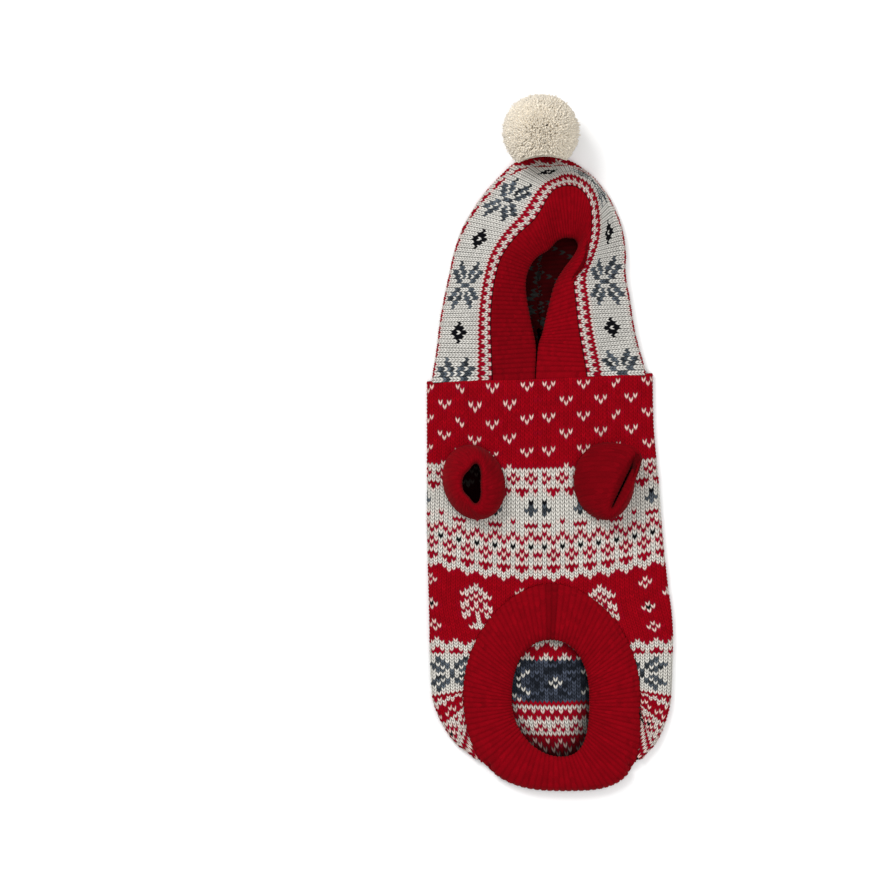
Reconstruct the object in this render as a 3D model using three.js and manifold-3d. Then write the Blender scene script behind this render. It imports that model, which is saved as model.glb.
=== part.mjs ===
// Knit dog hoodie, lying flat on its back with the belly side up.
// Millimetres, +Z up, +Y from the hem towards the hood's peak. The sizes below are measured from the
// lowest point of the hem, along the garment; the finished group is moved so that the middle of its box,
// at floor level, is the origin.
import * as THREE from "three";
import Module from "manifold-3d";
import { mergeVertices } from "three/addons/utils/BufferGeometryUtils.js";

const wasm = await Module();
wasm.setup();

// ---------------------------------------------------------------- driving dimensions
const WALL = 2.6; // thickness of the two-colour knit with its floats
const RIB_WALL = 2.8; // thickness of the ribbing between ribs
const RIB_RISE = 1.1; // how far a rib stands over the groove beside it
const SEAM_GAP = 0.3; // clearance between pieces that are sewn together
const FLOOR_GAP = 0.2; // ribs and yarn stay this far above what the garment lies on
const BODY_FOLD_HEIGHT = 7.6; // body laid flat: two walls and the space in the side folds
const NECK_Y = 350; // neck seam
const NECK_RISE = 7.4; // how far the neck's upper side stands over the flat body
const NECK_SLOPE_START = 285; // where the body begins to rise towards the neck
const BELLY_SEAM_X = -4;
const BACK_SEAM_X = -8;
const PEAK_FOLD_HEIGHT = 8;
const HOOD_FOLD_HEIGHT = 11;

// Outline of the body, from the hem corners to the neck.
const BODY_OUTLINE = [
  { y: 26, left: -64, right: 80 },
  { y: 39, left: -80, right: 91 },
  { y: 55, left: -91, right: 98.5 },
  { y: 75, left: -99, right: 103.5 },
  { y: 110, left: -101.5, right: 105 },
  { y: 141, left: -102, right: 105 },
  { y: 182, left: -103, right: 100 },
  { y: 223, left: -104, right: 96 },
  { y: 263, left: -104, right: 93 },
  { y: 304, left: -104, right: 89 },
  { y: 350, left: -104, right: 88 },
];
const BODY_ROW_Y = [26, 33, 43, 55, 70, 88, 108, 128, 146, 160, 169, 174, 177, 190, 206, 222, 240, 258, 276, 292, 306,
  320, 335, 350];
const HEM_SAG = 21; // how far the back hem's middle lies below its corners

// The hem ring: its outer seam and its opening, as rounded ovals that lean to one side at the bottom.
const RING = {
  centreX: 2, centreY: 84, halfWidth: 75, top: 92.5, bottom: 85, lean: 12, squareTop: 2.5, squareBottom: 3,
};
const MOUTH = {
  centreX: 1, centreY: 78, halfWidth: 33.5, top: 50, bottom: 50, lean: 9, squareTop: 2.2, squareBottom: 2.2,
};
const HEM_RIBS = 100;
const HEM_CLEAR = 1; // gap between the belly's edge and the grooves of the band; its ribs come nearer
const HEM_UNDER_CLEAR = 2.6; // gap between the back panel's cut edge and the band that turns round it
const HEM_TURN = 13; // below its corners, the height over which the band turns round the back hem
const HEM_CORNER_CLEAR = 1.5; // more clearance where the band stands on edge, at the corners of the hem
const HEM_CORNER = 8; // height over which its seam passes from the belly side to the back
// Way of the band across the belly side and round the bottom: share of the width from the outer seam to the
// opening, and height of the outer face.
const HEM_ACROSS = [
  { bellyShare: 0.1, bellyZ: 10.4, hemShare: 0.06, hemZ: 1.2 },
  { bellyShare: 0.24, bellyZ: 13.4, hemShare: 0.0, hemZ: 6.6 },
  { bellyShare: 0.5, bellyZ: 15.4, hemShare: 0.14, hemZ: 12.4 },
  { bellyShare: 0.78, bellyZ: 14.6, hemShare: 0.55, hemZ: 14.2 },
  { bellyShare: 1.0, bellyZ: 11.4, hemShare: 1.0, hemZ: 10.6 },
];

// The hood from the neck to the crown, one table for each half: the side fold, the seam of the face band with
// its height, and the free edge of the face band with its height. The last row is the crown, where the halves
// meet.
const HOOD_LEFT = [
  { sideX: -100.5, sideY: 350, seamX: -47, seamY: 350, seamZ: 15, edgeX: -12.3, edgeY: 350.5, edgeZ: 15 },
  { sideX: -97, sideY: 376, seamX: -46.5, seamY: 374, seamZ: 19, edgeX: -11.6, edgeY: 376, edgeZ: 15 },
  { sideX: -96, sideY: 396, seamX: -46, seamY: 396, seamZ: 22, edgeX: -15.5, edgeY: 396, edgeZ: 17 },
  { sideX: -93, sideY: 416, seamX: -45.5, seamY: 416, seamZ: 25, edgeX: -19, edgeY: 415, edgeZ: 18 },
  { sideX: -89, sideY: 437, seamX: -45, seamY: 437, seamZ: 27, edgeX: -20, edgeY: 431, edgeZ: 19 },
  { sideX: -85, sideY: 457, seamX: -41, seamY: 455, seamZ: 28, edgeX: -18.5, edgeY: 443, edgeZ: 19 },
  { sideX: -78, sideY: 478, seamX: -28, seamY: 466, seamZ: 28, edgeX: -13, edgeY: 451, edgeZ: 18 },
  { sideX: -65, sideY: 498, seamX: -14, seamY: 481, seamZ: 28, edgeX: -6, edgeY: 457, edgeZ: 16 },
  { sideX: -56, sideY: 508, seamX: -6, seamY: 491, seamZ: 27, edgeX: 0, edgeY: 462, edgeZ: 14 },
  { sideX: -46, sideY: 518, seamX: 1, seamY: 501, seamZ: 25, edgeX: 6, edgeY: 466, edgeZ: 13 },
  { sideX: -32, sideY: 529, seamX: 7, seamY: 508, seamZ: 23, edgeX: 12, edgeY: 468, edgeZ: 12.5 },
  { sideX: -8, sideY: 536, seamX: 14, seamY: 512, seamZ: 21, edgeX: 18, edgeY: 468, edgeZ: 12.5 },
];
const HOOD_RIGHT = [
  { sideX: 83, sideY: 350, seamX: 29.5, seamY: 350, seamZ: 15, edgeX: -11.7, edgeY: 350.5, edgeZ: 15 },
  { sideX: 76, sideY: 376, seamX: 29.5, seamY: 372, seamZ: 19, edgeX: -9.6, edgeY: 376, edgeZ: 15 },
  { sideX: 72, sideY: 396, seamX: 26.5, seamY: 392, seamZ: 22, edgeX: -6, edgeY: 388, edgeZ: 16 },
  { sideX: 69, sideY: 416, seamX: 23.5, seamY: 414, seamZ: 25, edgeX: -2, edgeY: 406, edgeZ: 16 },
  { sideX: 65.5, sideY: 437, seamX: 26, seamY: 435, seamZ: 27, edgeX: 8, edgeY: 427, edgeZ: 16 },
  { sideX: 65.5, sideY: 457, seamX: 34, seamY: 450, seamZ: 28, edgeX: 19, edgeY: 441, edgeZ: 14.5 },
  { sideX: 62, sideY: 478, seamX: 38, seamY: 467, seamZ: 28, edgeX: 26, edgeY: 451, edgeZ: 13.5 },
  { sideX: 54, sideY: 498, seamX: 38, seamY: 483, seamZ: 28, edgeX: 30.5, edgeY: 457.5, edgeZ: 13 },
  { sideX: 48, sideY: 508, seamX: 35.5, seamY: 496, seamZ: 27, edgeX: 31.5, edgeY: 462, edgeZ: 12.5 },
  { sideX: 38, sideY: 518, seamX: 29, seamY: 505.5, seamZ: 25, edgeX: 28.5, edgeY: 466, edgeZ: 12.5 },
  { sideX: 22, sideY: 529, seamX: 21.5, seamY: 511, seamZ: 23, edgeX: 24, edgeY: 468, edgeZ: 12.5 },
  { sideX: -8, sideY: 536, seamX: 14, seamY: 512, seamZ: 21, edgeX: 18, edgeY: 468, edgeZ: 12.5 },
];
const BACK_SEAM_Y = [350, 372, 392, 412, 432, 452, 470, 486, 497, 508, 518, 527]; // one for each hood row
const HOOD_STEPS_PER_ROW = 2;
const FACE_RIBS = 96;
const FACE_ACROSS = [0, 0.34, 0.68, 1]; // lines along the face band, as shares of its width
const FACE_BULGE = 0.25; // how far it bulges between its seam and its edge, as a share of its drop

// The leg cuffs: a short rib tube from the leg hole to a thick rim that nearly closes.
const CUFFS = [
  {
    name: "leg_cuff_left", baseX: -64, baseY: 261, baseRx: 27.5, baseRy: 31.5,
    rimX: -67, rimY: 260, rimRx: 11, rimRy: 21, rimTurn: 0, height: 25,
  },
  {
    name: "leg_cuff_right", baseX: 45.5, baseY: 262, baseRx: 26, baseRy: 32,
    rimX: 63, rimY: 258.5, rimRx: 10.5, rimRy: 25, rimTurn: -28, height: 26,
  },
];
const CUFF_RIBS = 36;
const CUFF_HOLE = 0.86; // leg hole in the belly, as a share of the cuff's base
// Outer face of a cuff: how far it has moved from base to rim, its height and a small bulge of the base.
const CUFF_WAY = [
  { towardsRim: 0.0, rise: -0.1, swell: 0.8 },
  { towardsRim: 0.0, rise: 0.05, swell: 0.81 },
  { towardsRim: 0.03, rise: 0.22, swell: 1.0 },
  { towardsRim: 0.36, rise: 0.64, swell: 1.04 },
  { towardsRim: 0.78, rise: 0.92, swell: 1.03 },
  { towardsRim: 1.0, rise: 0.97, swell: 0.86 },
];

// The pompom: a small core with a strand on each of its faces.
const POMPOM = { x: -8, y: 555.5, radius: 33, core: 20, detail: 2, strandTip: 0.62 };

// ---------------------------------------------------------------- small helpers
const lerp = (a, b, t) => a + (b - a) * t;
const clamp = (t, low = 0, high = 1) => Math.min(high, Math.max(low, t));
const ease = (t) => clamp(t) * clamp(t) * (3 - 2 * clamp(t));
const point = (x, y, z) => new THREE.Vector3(x, y, z);

// Value of a column of a table at a place between its rows, on a smooth curve through the rows.
function between(rows, column, place) {
  const i = Math.min(Math.floor(place), rows.length - 2);
  const t = place - i;
  const at = (k) => rows[clamp(k, 0, rows.length - 1)][column];
  const startSlope = (at(i + 1) - at(i - 1)) / 2;
  const endSlope = (at(i + 2) - at(i)) / 2;
  return at(i) * (1 + 2 * t) * (1 - t) ** 2 + at(i + 1) * t * t * (3 - 2 * t)
    + startSlope * t * (1 - t) ** 2 - endSlope * t * t * (1 - t);
}

// Value of a column of the body's outline at a height y.
function outlineAt(y, column) {
  const last = BODY_OUTLINE.length - 1;
  let i = 0;
  while (i < last - 1 && BODY_OUTLINE[i + 1].y < y) i += 1;
  const t = (y - BODY_OUTLINE[i].y) / (BODY_OUTLINE[i + 1].y - BODY_OUTLINE[i].y);
  return between(BODY_OUTLINE, column, i + clamp(t));
}

// Point of an oval in a direction given by an angle from its centre.
function ovalPoint(oval, angle) {
  const c = Math.cos(angle);
  const s = Math.sin(angle);
  const tall = s > 0 ? oval.top : oval.bottom;
  const n = s > 0 ? oval.squareTop : oval.squareBottom;
  const r = ((Math.abs(c) / oval.halfWidth) ** n + (Math.abs(s) / tall) ** n) ** (-1 / n);
  const down = Math.max(0, -r * s / oval.bottom);
  return { x: oval.centreX + r * c + oval.lean * down ** 2, y: oval.centreY + r * s };
}

// Half width of an oval at a height y, as its two x places.
function ovalSides(oval, y) {
  const rise = y - oval.centreY;
  const tall = rise > 0 ? oval.top : oval.bottom;
  const n = rise > 0 ? oval.squareTop : oval.squareBottom;
  const share = clamp(Math.abs(rise) / tall);
  const half = oval.halfWidth * (1 - share ** n) ** (1 / n);
  const shift = oval.lean * Math.max(0, -rise / oval.bottom) ** 2;
  return { left: oval.centreX + shift - half, right: oval.centreX + shift + half };
}

// Height of the belly side's outer face.
function bellyHeight(x, y) {
  const side = x < 0 ? outlineAt(y, "left") : outlineAt(y, "right");
  const seam = x < 0 ? HOOD_LEFT[0].seamX : HOOD_RIGHT[0].seamX;
  const inward = Math.sin(clamp((side - x) / (side - seam)) * Math.PI / 2);
  const soft = 0.8 * Math.sin(clamp((side - x) / side) * Math.PI / 2);
  return BODY_FOLD_HEIGHT + soft + NECK_RISE * inward * ease((y - NECK_SLOPE_START) / (NECK_Y - NECK_SLOPE_START));
}

// Outer points of a side fold: a half circle from the floor side to the upper side. outward is the
// direction from the middle of the garment to the fold.
function foldPoints(x, y, height, outward, steps) {
  const r = height / 2;
  const points = [];
  for (let i = 0; i <= steps; i += 1) {
    const a = Math.PI * i / steps;
    const reach = r * Math.sin(a) - r;
    points.push(point(x + outward.x * reach, y + outward.y * reach, r - r * Math.cos(a)));
  }
  return points;
}

// A closed wall of cloth: the outer face is a grid of points, the inner face lies one thickness inside it.
// Grid points that coincide are one point, so a grid may close on itself. The inner face stays between the
// two given heights y, so that a cut end is straight.
function clothWall(rows, thickness, lowestY, highestY) {
  const keys = new Map();
  const outer = [];
  const index = rows.map((row) => row.map((p) => {
    const key = [p.x, p.y, p.z].map((v) => Math.round(v * 1e4)).join();
    if (!keys.has(key)) {
      keys.set(key, outer.length);
      outer.push(p);
    }
    return keys.get(key);
  }));
  const faces = [];
  const addFace = (a, b, c) => {
    if (a !== b && b !== c && a !== c) faces.push([a, b, c]);
  };
  for (let j = 0; j + 1 < index.length; j += 1) {
    for (let i = 0; i + 1 < index[j].length; i += 1) {
      addFace(index[j][i], index[j + 1][i + 1], index[j][i + 1]);
      addFace(index[j][i], index[j + 1][i], index[j + 1][i + 1]);
    }
  }
  const normals = outer.map(() => point(0, 0, 0));
  for (const [a, b, c] of faces) {
    const normal = outer[b].clone().sub(outer[a]).cross(outer[c].clone().sub(outer[a]));
    for (const corner of [a, b, c]) normals[corner].add(normal);
  }
  const n = outer.length;
  const inner = outer.map((p, i) => p.clone().addScaledVector(normals[i].normalize(), -thickness));
  for (const p of inner) p.y = clamp(p.y, lowestY, highestY);
  const edges = new Map();
  for (const [a, b, c] of faces) {
    for (const [p, q] of [[a, b], [b, c], [c, a]]) edges.set(`${p},${q}`, [p, q]);
  }
  const all = faces.concat(faces.map(([a, b, c]) => [a + n, c + n, b + n]));
  for (const [p, q] of edges.values()) {
    if (!edges.has(`${q},${p}`)) {
      all.push([q, p, p + n]);
      all.push([q, p + n, q + n]);
    }
  }
  return solidGeometry(outer.concat(inner), all);
}

// A closed ribbed band: lines run across it, two for each rib, and every other line is raised. The inside
// is plain, with one line for each inside lines of the outside. keepClear moves a point out of its neighbours.
function ribbedBand(lines, { closed, inside, keepClear = () => {} }) {
  const count = lines.length;
  const across = lines[0].length;
  const at = (i, r) => lines[closed ? (i + count) % count : clamp(i, 0, count - 1)][clamp(r, 0, across - 1)];
  const outer = [];
  const inner = [];
  for (let i = 0; i < count; i += 1) {
    for (let r = 0; r < across; r += 1) {
      const along = at(i + 1, r).clone().sub(at(i - 1, r));
      const over = at(i, r + 1).clone().sub(at(i, r - 1));
      const normal = along.cross(over).normalize();
      const rise = (i % 2) * RIB_RISE - RIB_RISE / 2;
      outer.push(at(i, r).clone().addScaledVector(normal, rise));
      if (i % inside === 0) inner.push(at(i, r).clone().addScaledVector(normal, -RIB_WALL));
    }
  }
  for (const p of [...outer, ...inner]) {
    p.z = Math.max(p.z, FLOOR_GAP);
    keepClear(p);
  }
  const innerCount = inner.length / across;
  const out = (i, r) => (i % count) * across + r;
  const inn = (i, r) => outer.length + (i % innerCount) * across + r;
  const faces = [];
  const quad = (a, b, c, d) => faces.push([a, b, c], [a, c, d]);
  const spans = closed ? count : count - 1;
  for (let i = 0; i < spans; i += 1) {
    for (let r = 0; r + 1 < across; r += 1) quad(out(i, r), out(i + 1, r), out(i + 1, r + 1), out(i, r + 1));
  }
  for (let m = 0; m < spans / inside; m += 1) {
    for (let r = 0; r + 1 < across; r += 1) quad(inn(m, r), inn(m, r + 1), inn(m + 1, r + 1), inn(m + 1, r));
    for (let k = 0; k < inside; k += 1) {
      const i = m * inside + k;
      const near = k < inside / 2 ? m : m + 1;
      faces.push([out(i + 1, 0), out(i, 0), inn(near, 0)]);
      faces.push([out(i, across - 1), out(i + 1, across - 1), inn(near, across - 1)]);
    }
    const middle = m * inside + Math.ceil(inside / 2);
    faces.push([out(middle, 0), inn(m, 0), inn(m + 1, 0)]);
    faces.push([inn(m, across - 1), out(middle, across - 1), inn(m + 1, across - 1)]);
  }
  if (!closed) {
    const last = spans / inside;
    for (let r = 0; r + 1 < across; r += 1) {
      quad(out(0, r), out(0, r + 1), inn(0, r + 1), inn(0, r));
      quad(out(spans, r + 1), out(spans, r), inn(last, r), inn(last, r + 1));
    }
  }
  return solidGeometry(outer.concat(inner), faces);
}

// Geometry from points and triangles, turned so that its faces point out.
function solidGeometry(points, faces) {
  let volume = 0;
  for (const [a, b, c] of faces) volume += points[a].dot(points[b].clone().cross(points[c]));
  const geometry = new THREE.BufferGeometry();
  geometry.setAttribute("position", new THREE.Float32BufferAttribute(points.flatMap((p) => p.toArray()), 3));
  geometry.setIndex(faces.flatMap(([a, b, c]) => (volume > 0 ? [a, b, c] : [a, c, b])));
  return geometry;
}

// ---------------------------------------------------------------- boolean cut
function toManifold(geometry) {
  const plain = geometry.clone();
  plain.deleteAttribute("normal");
  plain.deleteAttribute("uv");
  const merged = mergeVertices(plain, 1e-4);
  const vertProperties = new Float32Array(merged.attributes.position.array);
  const triVerts = new Uint32Array(merged.index.array);
  return new wasm.Manifold(new wasm.Mesh({ numProp: 3, vertProperties, triVerts }));
}

function cutAway(geometry, cutters) {
  let solid = toManifold(geometry);
  for (const cutter of cutters) solid = solid.subtract(toManifold(cutter));
  const mesh = solid.getMesh();
  const result = new THREE.BufferGeometry();
  result.setAttribute("position", new THREE.BufferAttribute(new Float32Array(mesh.vertProperties), 3));
  result.setIndex(new THREE.BufferAttribute(new Uint32Array(mesh.triVerts), 1));
  return result;
}

// ---------------------------------------------------------------- body
const BACK_STEPS = 4; // from the back's middle to a side fold
const FOLD_STEPS = 4;
const BELLY_STEPS = 7; // from a side fold to the belly seam or the hem ring

// Place of the back hem's middle line for a row that starts at height y at the sides.
function rowY(y, x) {
  const left = outlineAt(y, "left");
  const right = outlineAt(y, "right");
  const u = (2 * x - left - right) / (right - left);
  const sag = HEM_SAG * (1 - ease((y - BODY_ROW_Y[0]) / 90));
  return y - sag * Math.max(0, 1 - u * u) ** 1.5;
}

// Where a row of the belly ends: at the hem ring or, above it, at the belly seam.
function hemEdgeX(y, side) {
  return y < RING.centreY + RING.top ? ovalSides(RING, y)[side] : BELLY_SEAM_X;
}

// Half a row of the body, from the belly seam or the hem ring, over the side fold, to the back's middle.
function bodyHalfRow(y, side) {
  const sign = side === "left" ? -1 : 1;
  const fold = outlineAt(y, side);
  const outward = point(sign, 0, 0);
  const ring = hemEdgeX(y, side);
  const turn = fold - sign * BODY_FOLD_HEIGHT / 2;
  const row = [];
  for (let i = 0; i < BELLY_STEPS; i += 1) {
    const x = lerp(ring, turn, i / BELLY_STEPS);
    row.push(point(x, y, bellyHeight(x, y)));
  }
  row.push(...foldPoints(fold, y, BODY_FOLD_HEIGHT, outward, FOLD_STEPS).reverse());
  for (let i = 1; i <= BACK_STEPS; i += 1) {
    const x = lerp(turn, BELLY_SEAM_X, i / BACK_STEPS);
    row.push(point(x, rowY(y, x), 0));
  }
  return row;
}

function bodyPanel() {
  const rows = BODY_ROW_Y.map((y) => {
    const left = bodyHalfRow(y, "left");
    const right = bodyHalfRow(y, "right");
    return left.concat(right.reverse().slice(1));
  });
  const wall = clothWall(rows, WALL, 0, NECK_Y);
  const cutters = CUFFS.map((cuff) => {
    const hole = new THREE.Shape();
    hole.absellipse(cuff.baseX, cuff.baseY, cuff.baseRx * CUFF_HOLE, cuff.baseRy * CUFF_HOLE, 0, 2 * Math.PI);
    const cutter = new THREE.ExtrudeGeometry(hole, { depth: NECK_RISE * 2, bevelEnabled: false, curveSegments: 16 });
    return cutter.translate(0, 0, BODY_FOLD_HEIGHT / 2);
  });
  return cutAway(wall, cutters);
}

// ---------------------------------------------------------------- hem ring
// Where the hem band begins on the belly side, in a direction from the ring's middle: just inside the edge
// that the rows of the body leave.
function hemSeamPoint(angle) {
  const side = Math.cos(angle) < 0 ? "left" : "right";
  const outer = ovalPoint(RING, angle);
  const i = clamp(BODY_ROW_Y.findIndex((y) => y > outer.y), 1, BODY_ROW_Y.length) - 1;
  const [low, high] = [BODY_ROW_Y[i], BODY_ROW_Y[i + 1]].map((y) => point(hemEdgeX(y, side), y, 0));
  const along = high.clone().sub(low).normalize();
  const inward = side === "left" ? point(along.y, -along.x, 0) : point(-along.y, along.x, 0);
  const share = clamp((outer.y - low.y) / (high.y - low.y));
  const onEdge = low.lerp(high, share).addScaledVector(inward, HEM_CLEAR);
  return onEdge.setZ(bellyHeight(onEdge.x, onEdge.y));
}

// Line across the hem band at a share of the way round it, starting at the top of the belly cut-out.
function hemLine(share) {
  const angle = Math.PI / 2 + 2 * Math.PI * share;
  const outer = ovalPoint(RING, angle);
  const mouth = ovalPoint(MOUTH, angle);
  const corner = BODY_ROW_Y[0];
  const wrapped = ease((corner - outer.y) / HEM_TURN);
  const line = [];
  if (outer.y > corner + HEM_CLEAR) {
    line.push(hemSeamPoint(angle));
  } else {
    const lowered = ease((corner - outer.y) / HEM_CORNER);
    const onEdge = (1 - wrapped) * clamp(4 * lowered);
    const below = SEAM_GAP + RIB_RISE / 2 + HEM_CORNER_CLEAR * onEdge;
    const z = lerp(BODY_FOLD_HEIGHT, FLOOR_GAP + RIB_RISE / 2, lowered);
    line.push(point(outer.x, rowY(corner, outer.x) - below, z));
  }
  for (const row of HEM_ACROSS) {
    const bottomShare = lerp(row.bellyShare, row.hemShare, wrapped);
    const z = lerp(row.bellyZ, row.hemZ, wrapped);
    line.push(point(lerp(outer.x, mouth.x, bottomShare), lerp(outer.y, mouth.y, bottomShare), z));
  }
  return line;
}

function hemRibBand() {
  const lines = [];
  for (let i = 0; i < 2 * HEM_RIBS; i += 1) lines.push(hemLine(i / (2 * HEM_RIBS)));
  const corner = BODY_ROW_Y[0];
  const keepClear = (p) => {
    if (p.y < corner + 1 && p.z < BODY_FOLD_HEIGHT) p.y = Math.min(p.y, rowY(corner, p.x) - HEM_UNDER_CLEAR);
  };
  return ribbedBand(lines, { closed: true, inside: 4, keepClear });
}

// ---------------------------------------------------------------- hood
const HOOD_FRONT_STEPS = 6;
const HOOD_FOLD_STEPS = 4;
const HOOD_BACK_STEPS = 4;

// Half a row of the hood, from the face seam, over the side fold, to the centre-back seam.
function hoodHalfRow(table, place) {
  const value = (column) => between(table, column, place);
  const last = table.length - 1;
  const seamY = Math.max(value("seamY"), NECK_Y + SEAM_GAP);
  const seam = point(value("seamX"), seamY, value("seamZ"));
  const side = point(value("sideX"), Math.max(value("sideY"), NECK_Y + SEAM_GAP), 0);
  const backY = BACK_SEAM_Y.map((y) => ({ y }));
  const back = point(BACK_SEAM_X, Math.max(between(backY, "y", place), NECK_Y + SEAM_GAP), 0);
  const height = lerp(HOOD_FOLD_HEIGHT, PEAK_FOLD_HEIGHT, ease(place / last));
  const outward = side.clone().sub(back).setZ(0).normalize();
  const towardsSeam = seam.clone().sub(side).setZ(0);
  const turn = side.clone().addScaledVector(outward, -height / 2);
  const row = [];
  for (let i = 0; i < HOOD_FRONT_STEPS; i += 1) {
    const t = i / HOOD_FRONT_STEPS;
    const rise = Math.sin((1 - t) * Math.PI / 2);
    row.push(point(lerp(seam.x, turn.x, t), lerp(seam.y, turn.y, t), lerp(height, seam.z, rise)));
  }
  row.push(...foldPoints(side.x, side.y, height, outward, HOOD_FOLD_STEPS).reverse());
  for (let i = 1; i <= HOOD_BACK_STEPS; i += 1) {
    const t = i / HOOD_BACK_STEPS;
    row.push(point(lerp(turn.x, back.x, t), lerp(turn.y, back.y, t), 0));
  }
  return row;
}

function hoodPanel() {
  const rows = [];
  const last = HOOD_LEFT.length - 1;
  for (let i = 0; i <= last * HOOD_STEPS_PER_ROW; i += 1) {
    const place = i / HOOD_STEPS_PER_ROW;
    const left = hoodHalfRow(HOOD_LEFT, place);
    const right = hoodHalfRow(HOOD_RIGHT, place);
    rows.push(left.concat(right.reverse().slice(1)));
  }
  return clothWall(rows, WALL, NECK_Y + SEAM_GAP, POMPOM.y);
}

// ---------------------------------------------------------------- face band
// Point of the hood's face edge, which runs straight between two rows of the hood.
function hoodSeamPoint(table, place) {
  const low = Math.min(Math.floor(place * HOOD_STEPS_PER_ROW), (table.length - 1) * HOOD_STEPS_PER_ROW - 1);
  const [start, end] = [low, low + 1].map((step) => (
    point(...["seamX", "seamY", "seamZ"].map((column) => between(table, column, step / HOOD_STEPS_PER_ROW)))
  ));
  return start.lerp(end, place * HOOD_STEPS_PER_ROW - low);
}

// Line across the face band: from its seam, a little inside the hood's edge, to its free edge.
function faceLine(table, place) {
  const seam = hoodSeamPoint(table, place);
  const edge = point(...["edgeX", "edgeY", "edgeZ"].map((column) => between(table, column, place)));
  const last = table.length - 1;
  const ahead = hoodSeamPoint(table, Math.min(place + 0.1, last));
  const tangent = ahead.sub(hoodSeamPoint(table, Math.max(place - 0.1, 0)));
  const over = edge.clone().sub(seam);
  const normal = tangent.clone().cross(over).normalize();
  const along = tangent.clone().setZ(0).normalize();
  const inward = over.clone().setZ(0).addScaledVector(along, -over.dot(along)).normalize();
  const clear = SEAM_GAP + RIB_RISE / 2 + RIB_WALL * Math.abs(normal.dot(inward));
  const start = seam.clone().addScaledVector(inward, clear);
  const line = [];
  for (const t of FACE_ACROSS) {
    const p = start.clone().lerp(edge, t);
    line.push(p.setZ(p.z + Math.sin(t * Math.PI) * FACE_BULGE * (start.z - edge.z)));
  }
  return line;
}

function faceRibBand() {
  const last = HOOD_LEFT.length - 1;
  const fine = 40;
  const way = [];
  for (let i = 0; i <= last * fine; i += 1) way.push({ table: HOOD_RIGHT, place: i / fine });
  for (let i = last * fine - 1; i >= 0; i -= 1) way.push({ table: HOOD_LEFT, place: i / fine });
  const seams = way.map(({ table, place }) => faceLine(table, place)[0]);
  const lengths = [0];
  for (let i = 1; i < seams.length; i += 1) lengths.push(lengths[i - 1] + seams[i].distanceTo(seams[i - 1]));
  const total = lengths[lengths.length - 1];
  const lines = [];
  let k = 0;
  for (let i = 0; i <= 2 * FACE_RIBS; i += 1) {
    const wanted = total * i / (2 * FACE_RIBS);
    while (k < way.length - 2 && lengths[k + 1] < wanted) k += 1;
    const { table, place } = way[Math.abs(lengths[k + 1] - wanted) < Math.abs(lengths[k] - wanted) ? k + 1 : k];
    lines.push(faceLine(table, place));
  }
  const keepClear = (p) => { p.y = Math.max(p.y, NECK_Y + SEAM_GAP); };
  return ribbedBand(lines, { closed: false, inside: 4, keepClear });
}

// ---------------------------------------------------------------- leg cuffs
function legCuff(cuff) {
  const bottom = bellyHeight(cuff.baseX, cuff.baseY);
  const lines = [];
  for (let i = 0; i < 2 * CUFF_RIBS; i += 1) {
    const angle = Math.PI * i / CUFF_RIBS;
    lines.push(CUFF_WAY.map(({ towardsRim, rise, swell }) => {
      const turn = THREE.MathUtils.degToRad(cuff.rimTurn * towardsRim);
      const u = lerp(cuff.baseRx, cuff.rimRx, towardsRim) * swell * Math.cos(angle);
      const v = lerp(cuff.baseRy, cuff.rimRy, towardsRim) * swell * Math.sin(angle);
      const x = lerp(cuff.baseX, cuff.rimX, towardsRim) + u * Math.cos(turn) - v * Math.sin(turn);
      const y = lerp(cuff.baseY, cuff.rimY, towardsRim) + u * Math.sin(turn) + v * Math.cos(turn);
      return point(x, y, bottom + cuff.height * rise);
    }));
  }
  return ribbedBand(lines, { closed: true, inside: 3 });
}

// ---------------------------------------------------------------- pompom
function pompomTuft() {
  const ball = new THREE.IcosahedronGeometry(POMPOM.core, POMPOM.detail);
  ball.deleteAttribute("normal");
  ball.deleteAttribute("uv");
  const core = mergeVertices(ball, 1e-3);
  const place = core.attributes.position;
  const points = [];
  for (let i = 0; i < place.count; i += 1) points.push(new THREE.Vector3().fromBufferAttribute(place, i));
  const faces = [];
  for (let i = 0; i < core.index.count; i += 3) {
    const root = [0, 1, 2].map((k) => core.index.getX(i + k));
    const middle = root.reduce((sum, k) => sum.add(points[k]), point(0, 0, 0)).divideScalar(3).normalize();
    const tips = root.map((k) => {
      const level = points[k].clone().normalize().multiplyScalar(POMPOM.radius);
      const axis = middle.clone().multiplyScalar(POMPOM.radius);
      points.push(axis.lerp(level, POMPOM.strandTip));
      return points.length - 1;
    });
    for (let k = 0; k < 3; k += 1) {
      const next = (k + 1) % 3;
      faces.push([root[k], root[next], tips[next]], [root[k], tips[next], tips[k]]);
    }
    faces.push(tips);
  }
  const lift = POMPOM.radius + FLOOR_GAP;
  return solidGeometry(points.map((p) => p.add(point(POMPOM.x, POMPOM.y, lift))), faces);
}

// ---------------------------------------------------------------- assembly
const YARN = {
  crimson: new THREE.MeshStandardMaterial({ color: 0xb5121f, roughness: 0.95, metalness: 0 }),
  pattern: new THREE.MeshStandardMaterial({ color: 0xc8474d, roughness: 0.95, metalness: 0 }),
  cream: new THREE.MeshStandardMaterial({ color: 0xe9e2cf, roughness: 0.95, metalness: 0 }),
};

const garment = new THREE.Group();
function addPiece(name, geometry, material) {
  const piece = new THREE.Mesh(geometry, material);
  piece.name = name;
  garment.add(piece);
}

addPiece("body_panel", bodyPanel(), YARN.pattern);
addPiece("hood_panel", hoodPanel(), YARN.pattern);
addPiece("face_rib_band", faceRibBand(), YARN.crimson);
addPiece("hem_rib_band", hemRibBand(), YARN.crimson);
for (const cuff of CUFFS) addPiece(cuff.name, legCuff(cuff), YARN.crimson);
addPiece("pompom", pompomTuft(), YARN.cream);

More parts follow.
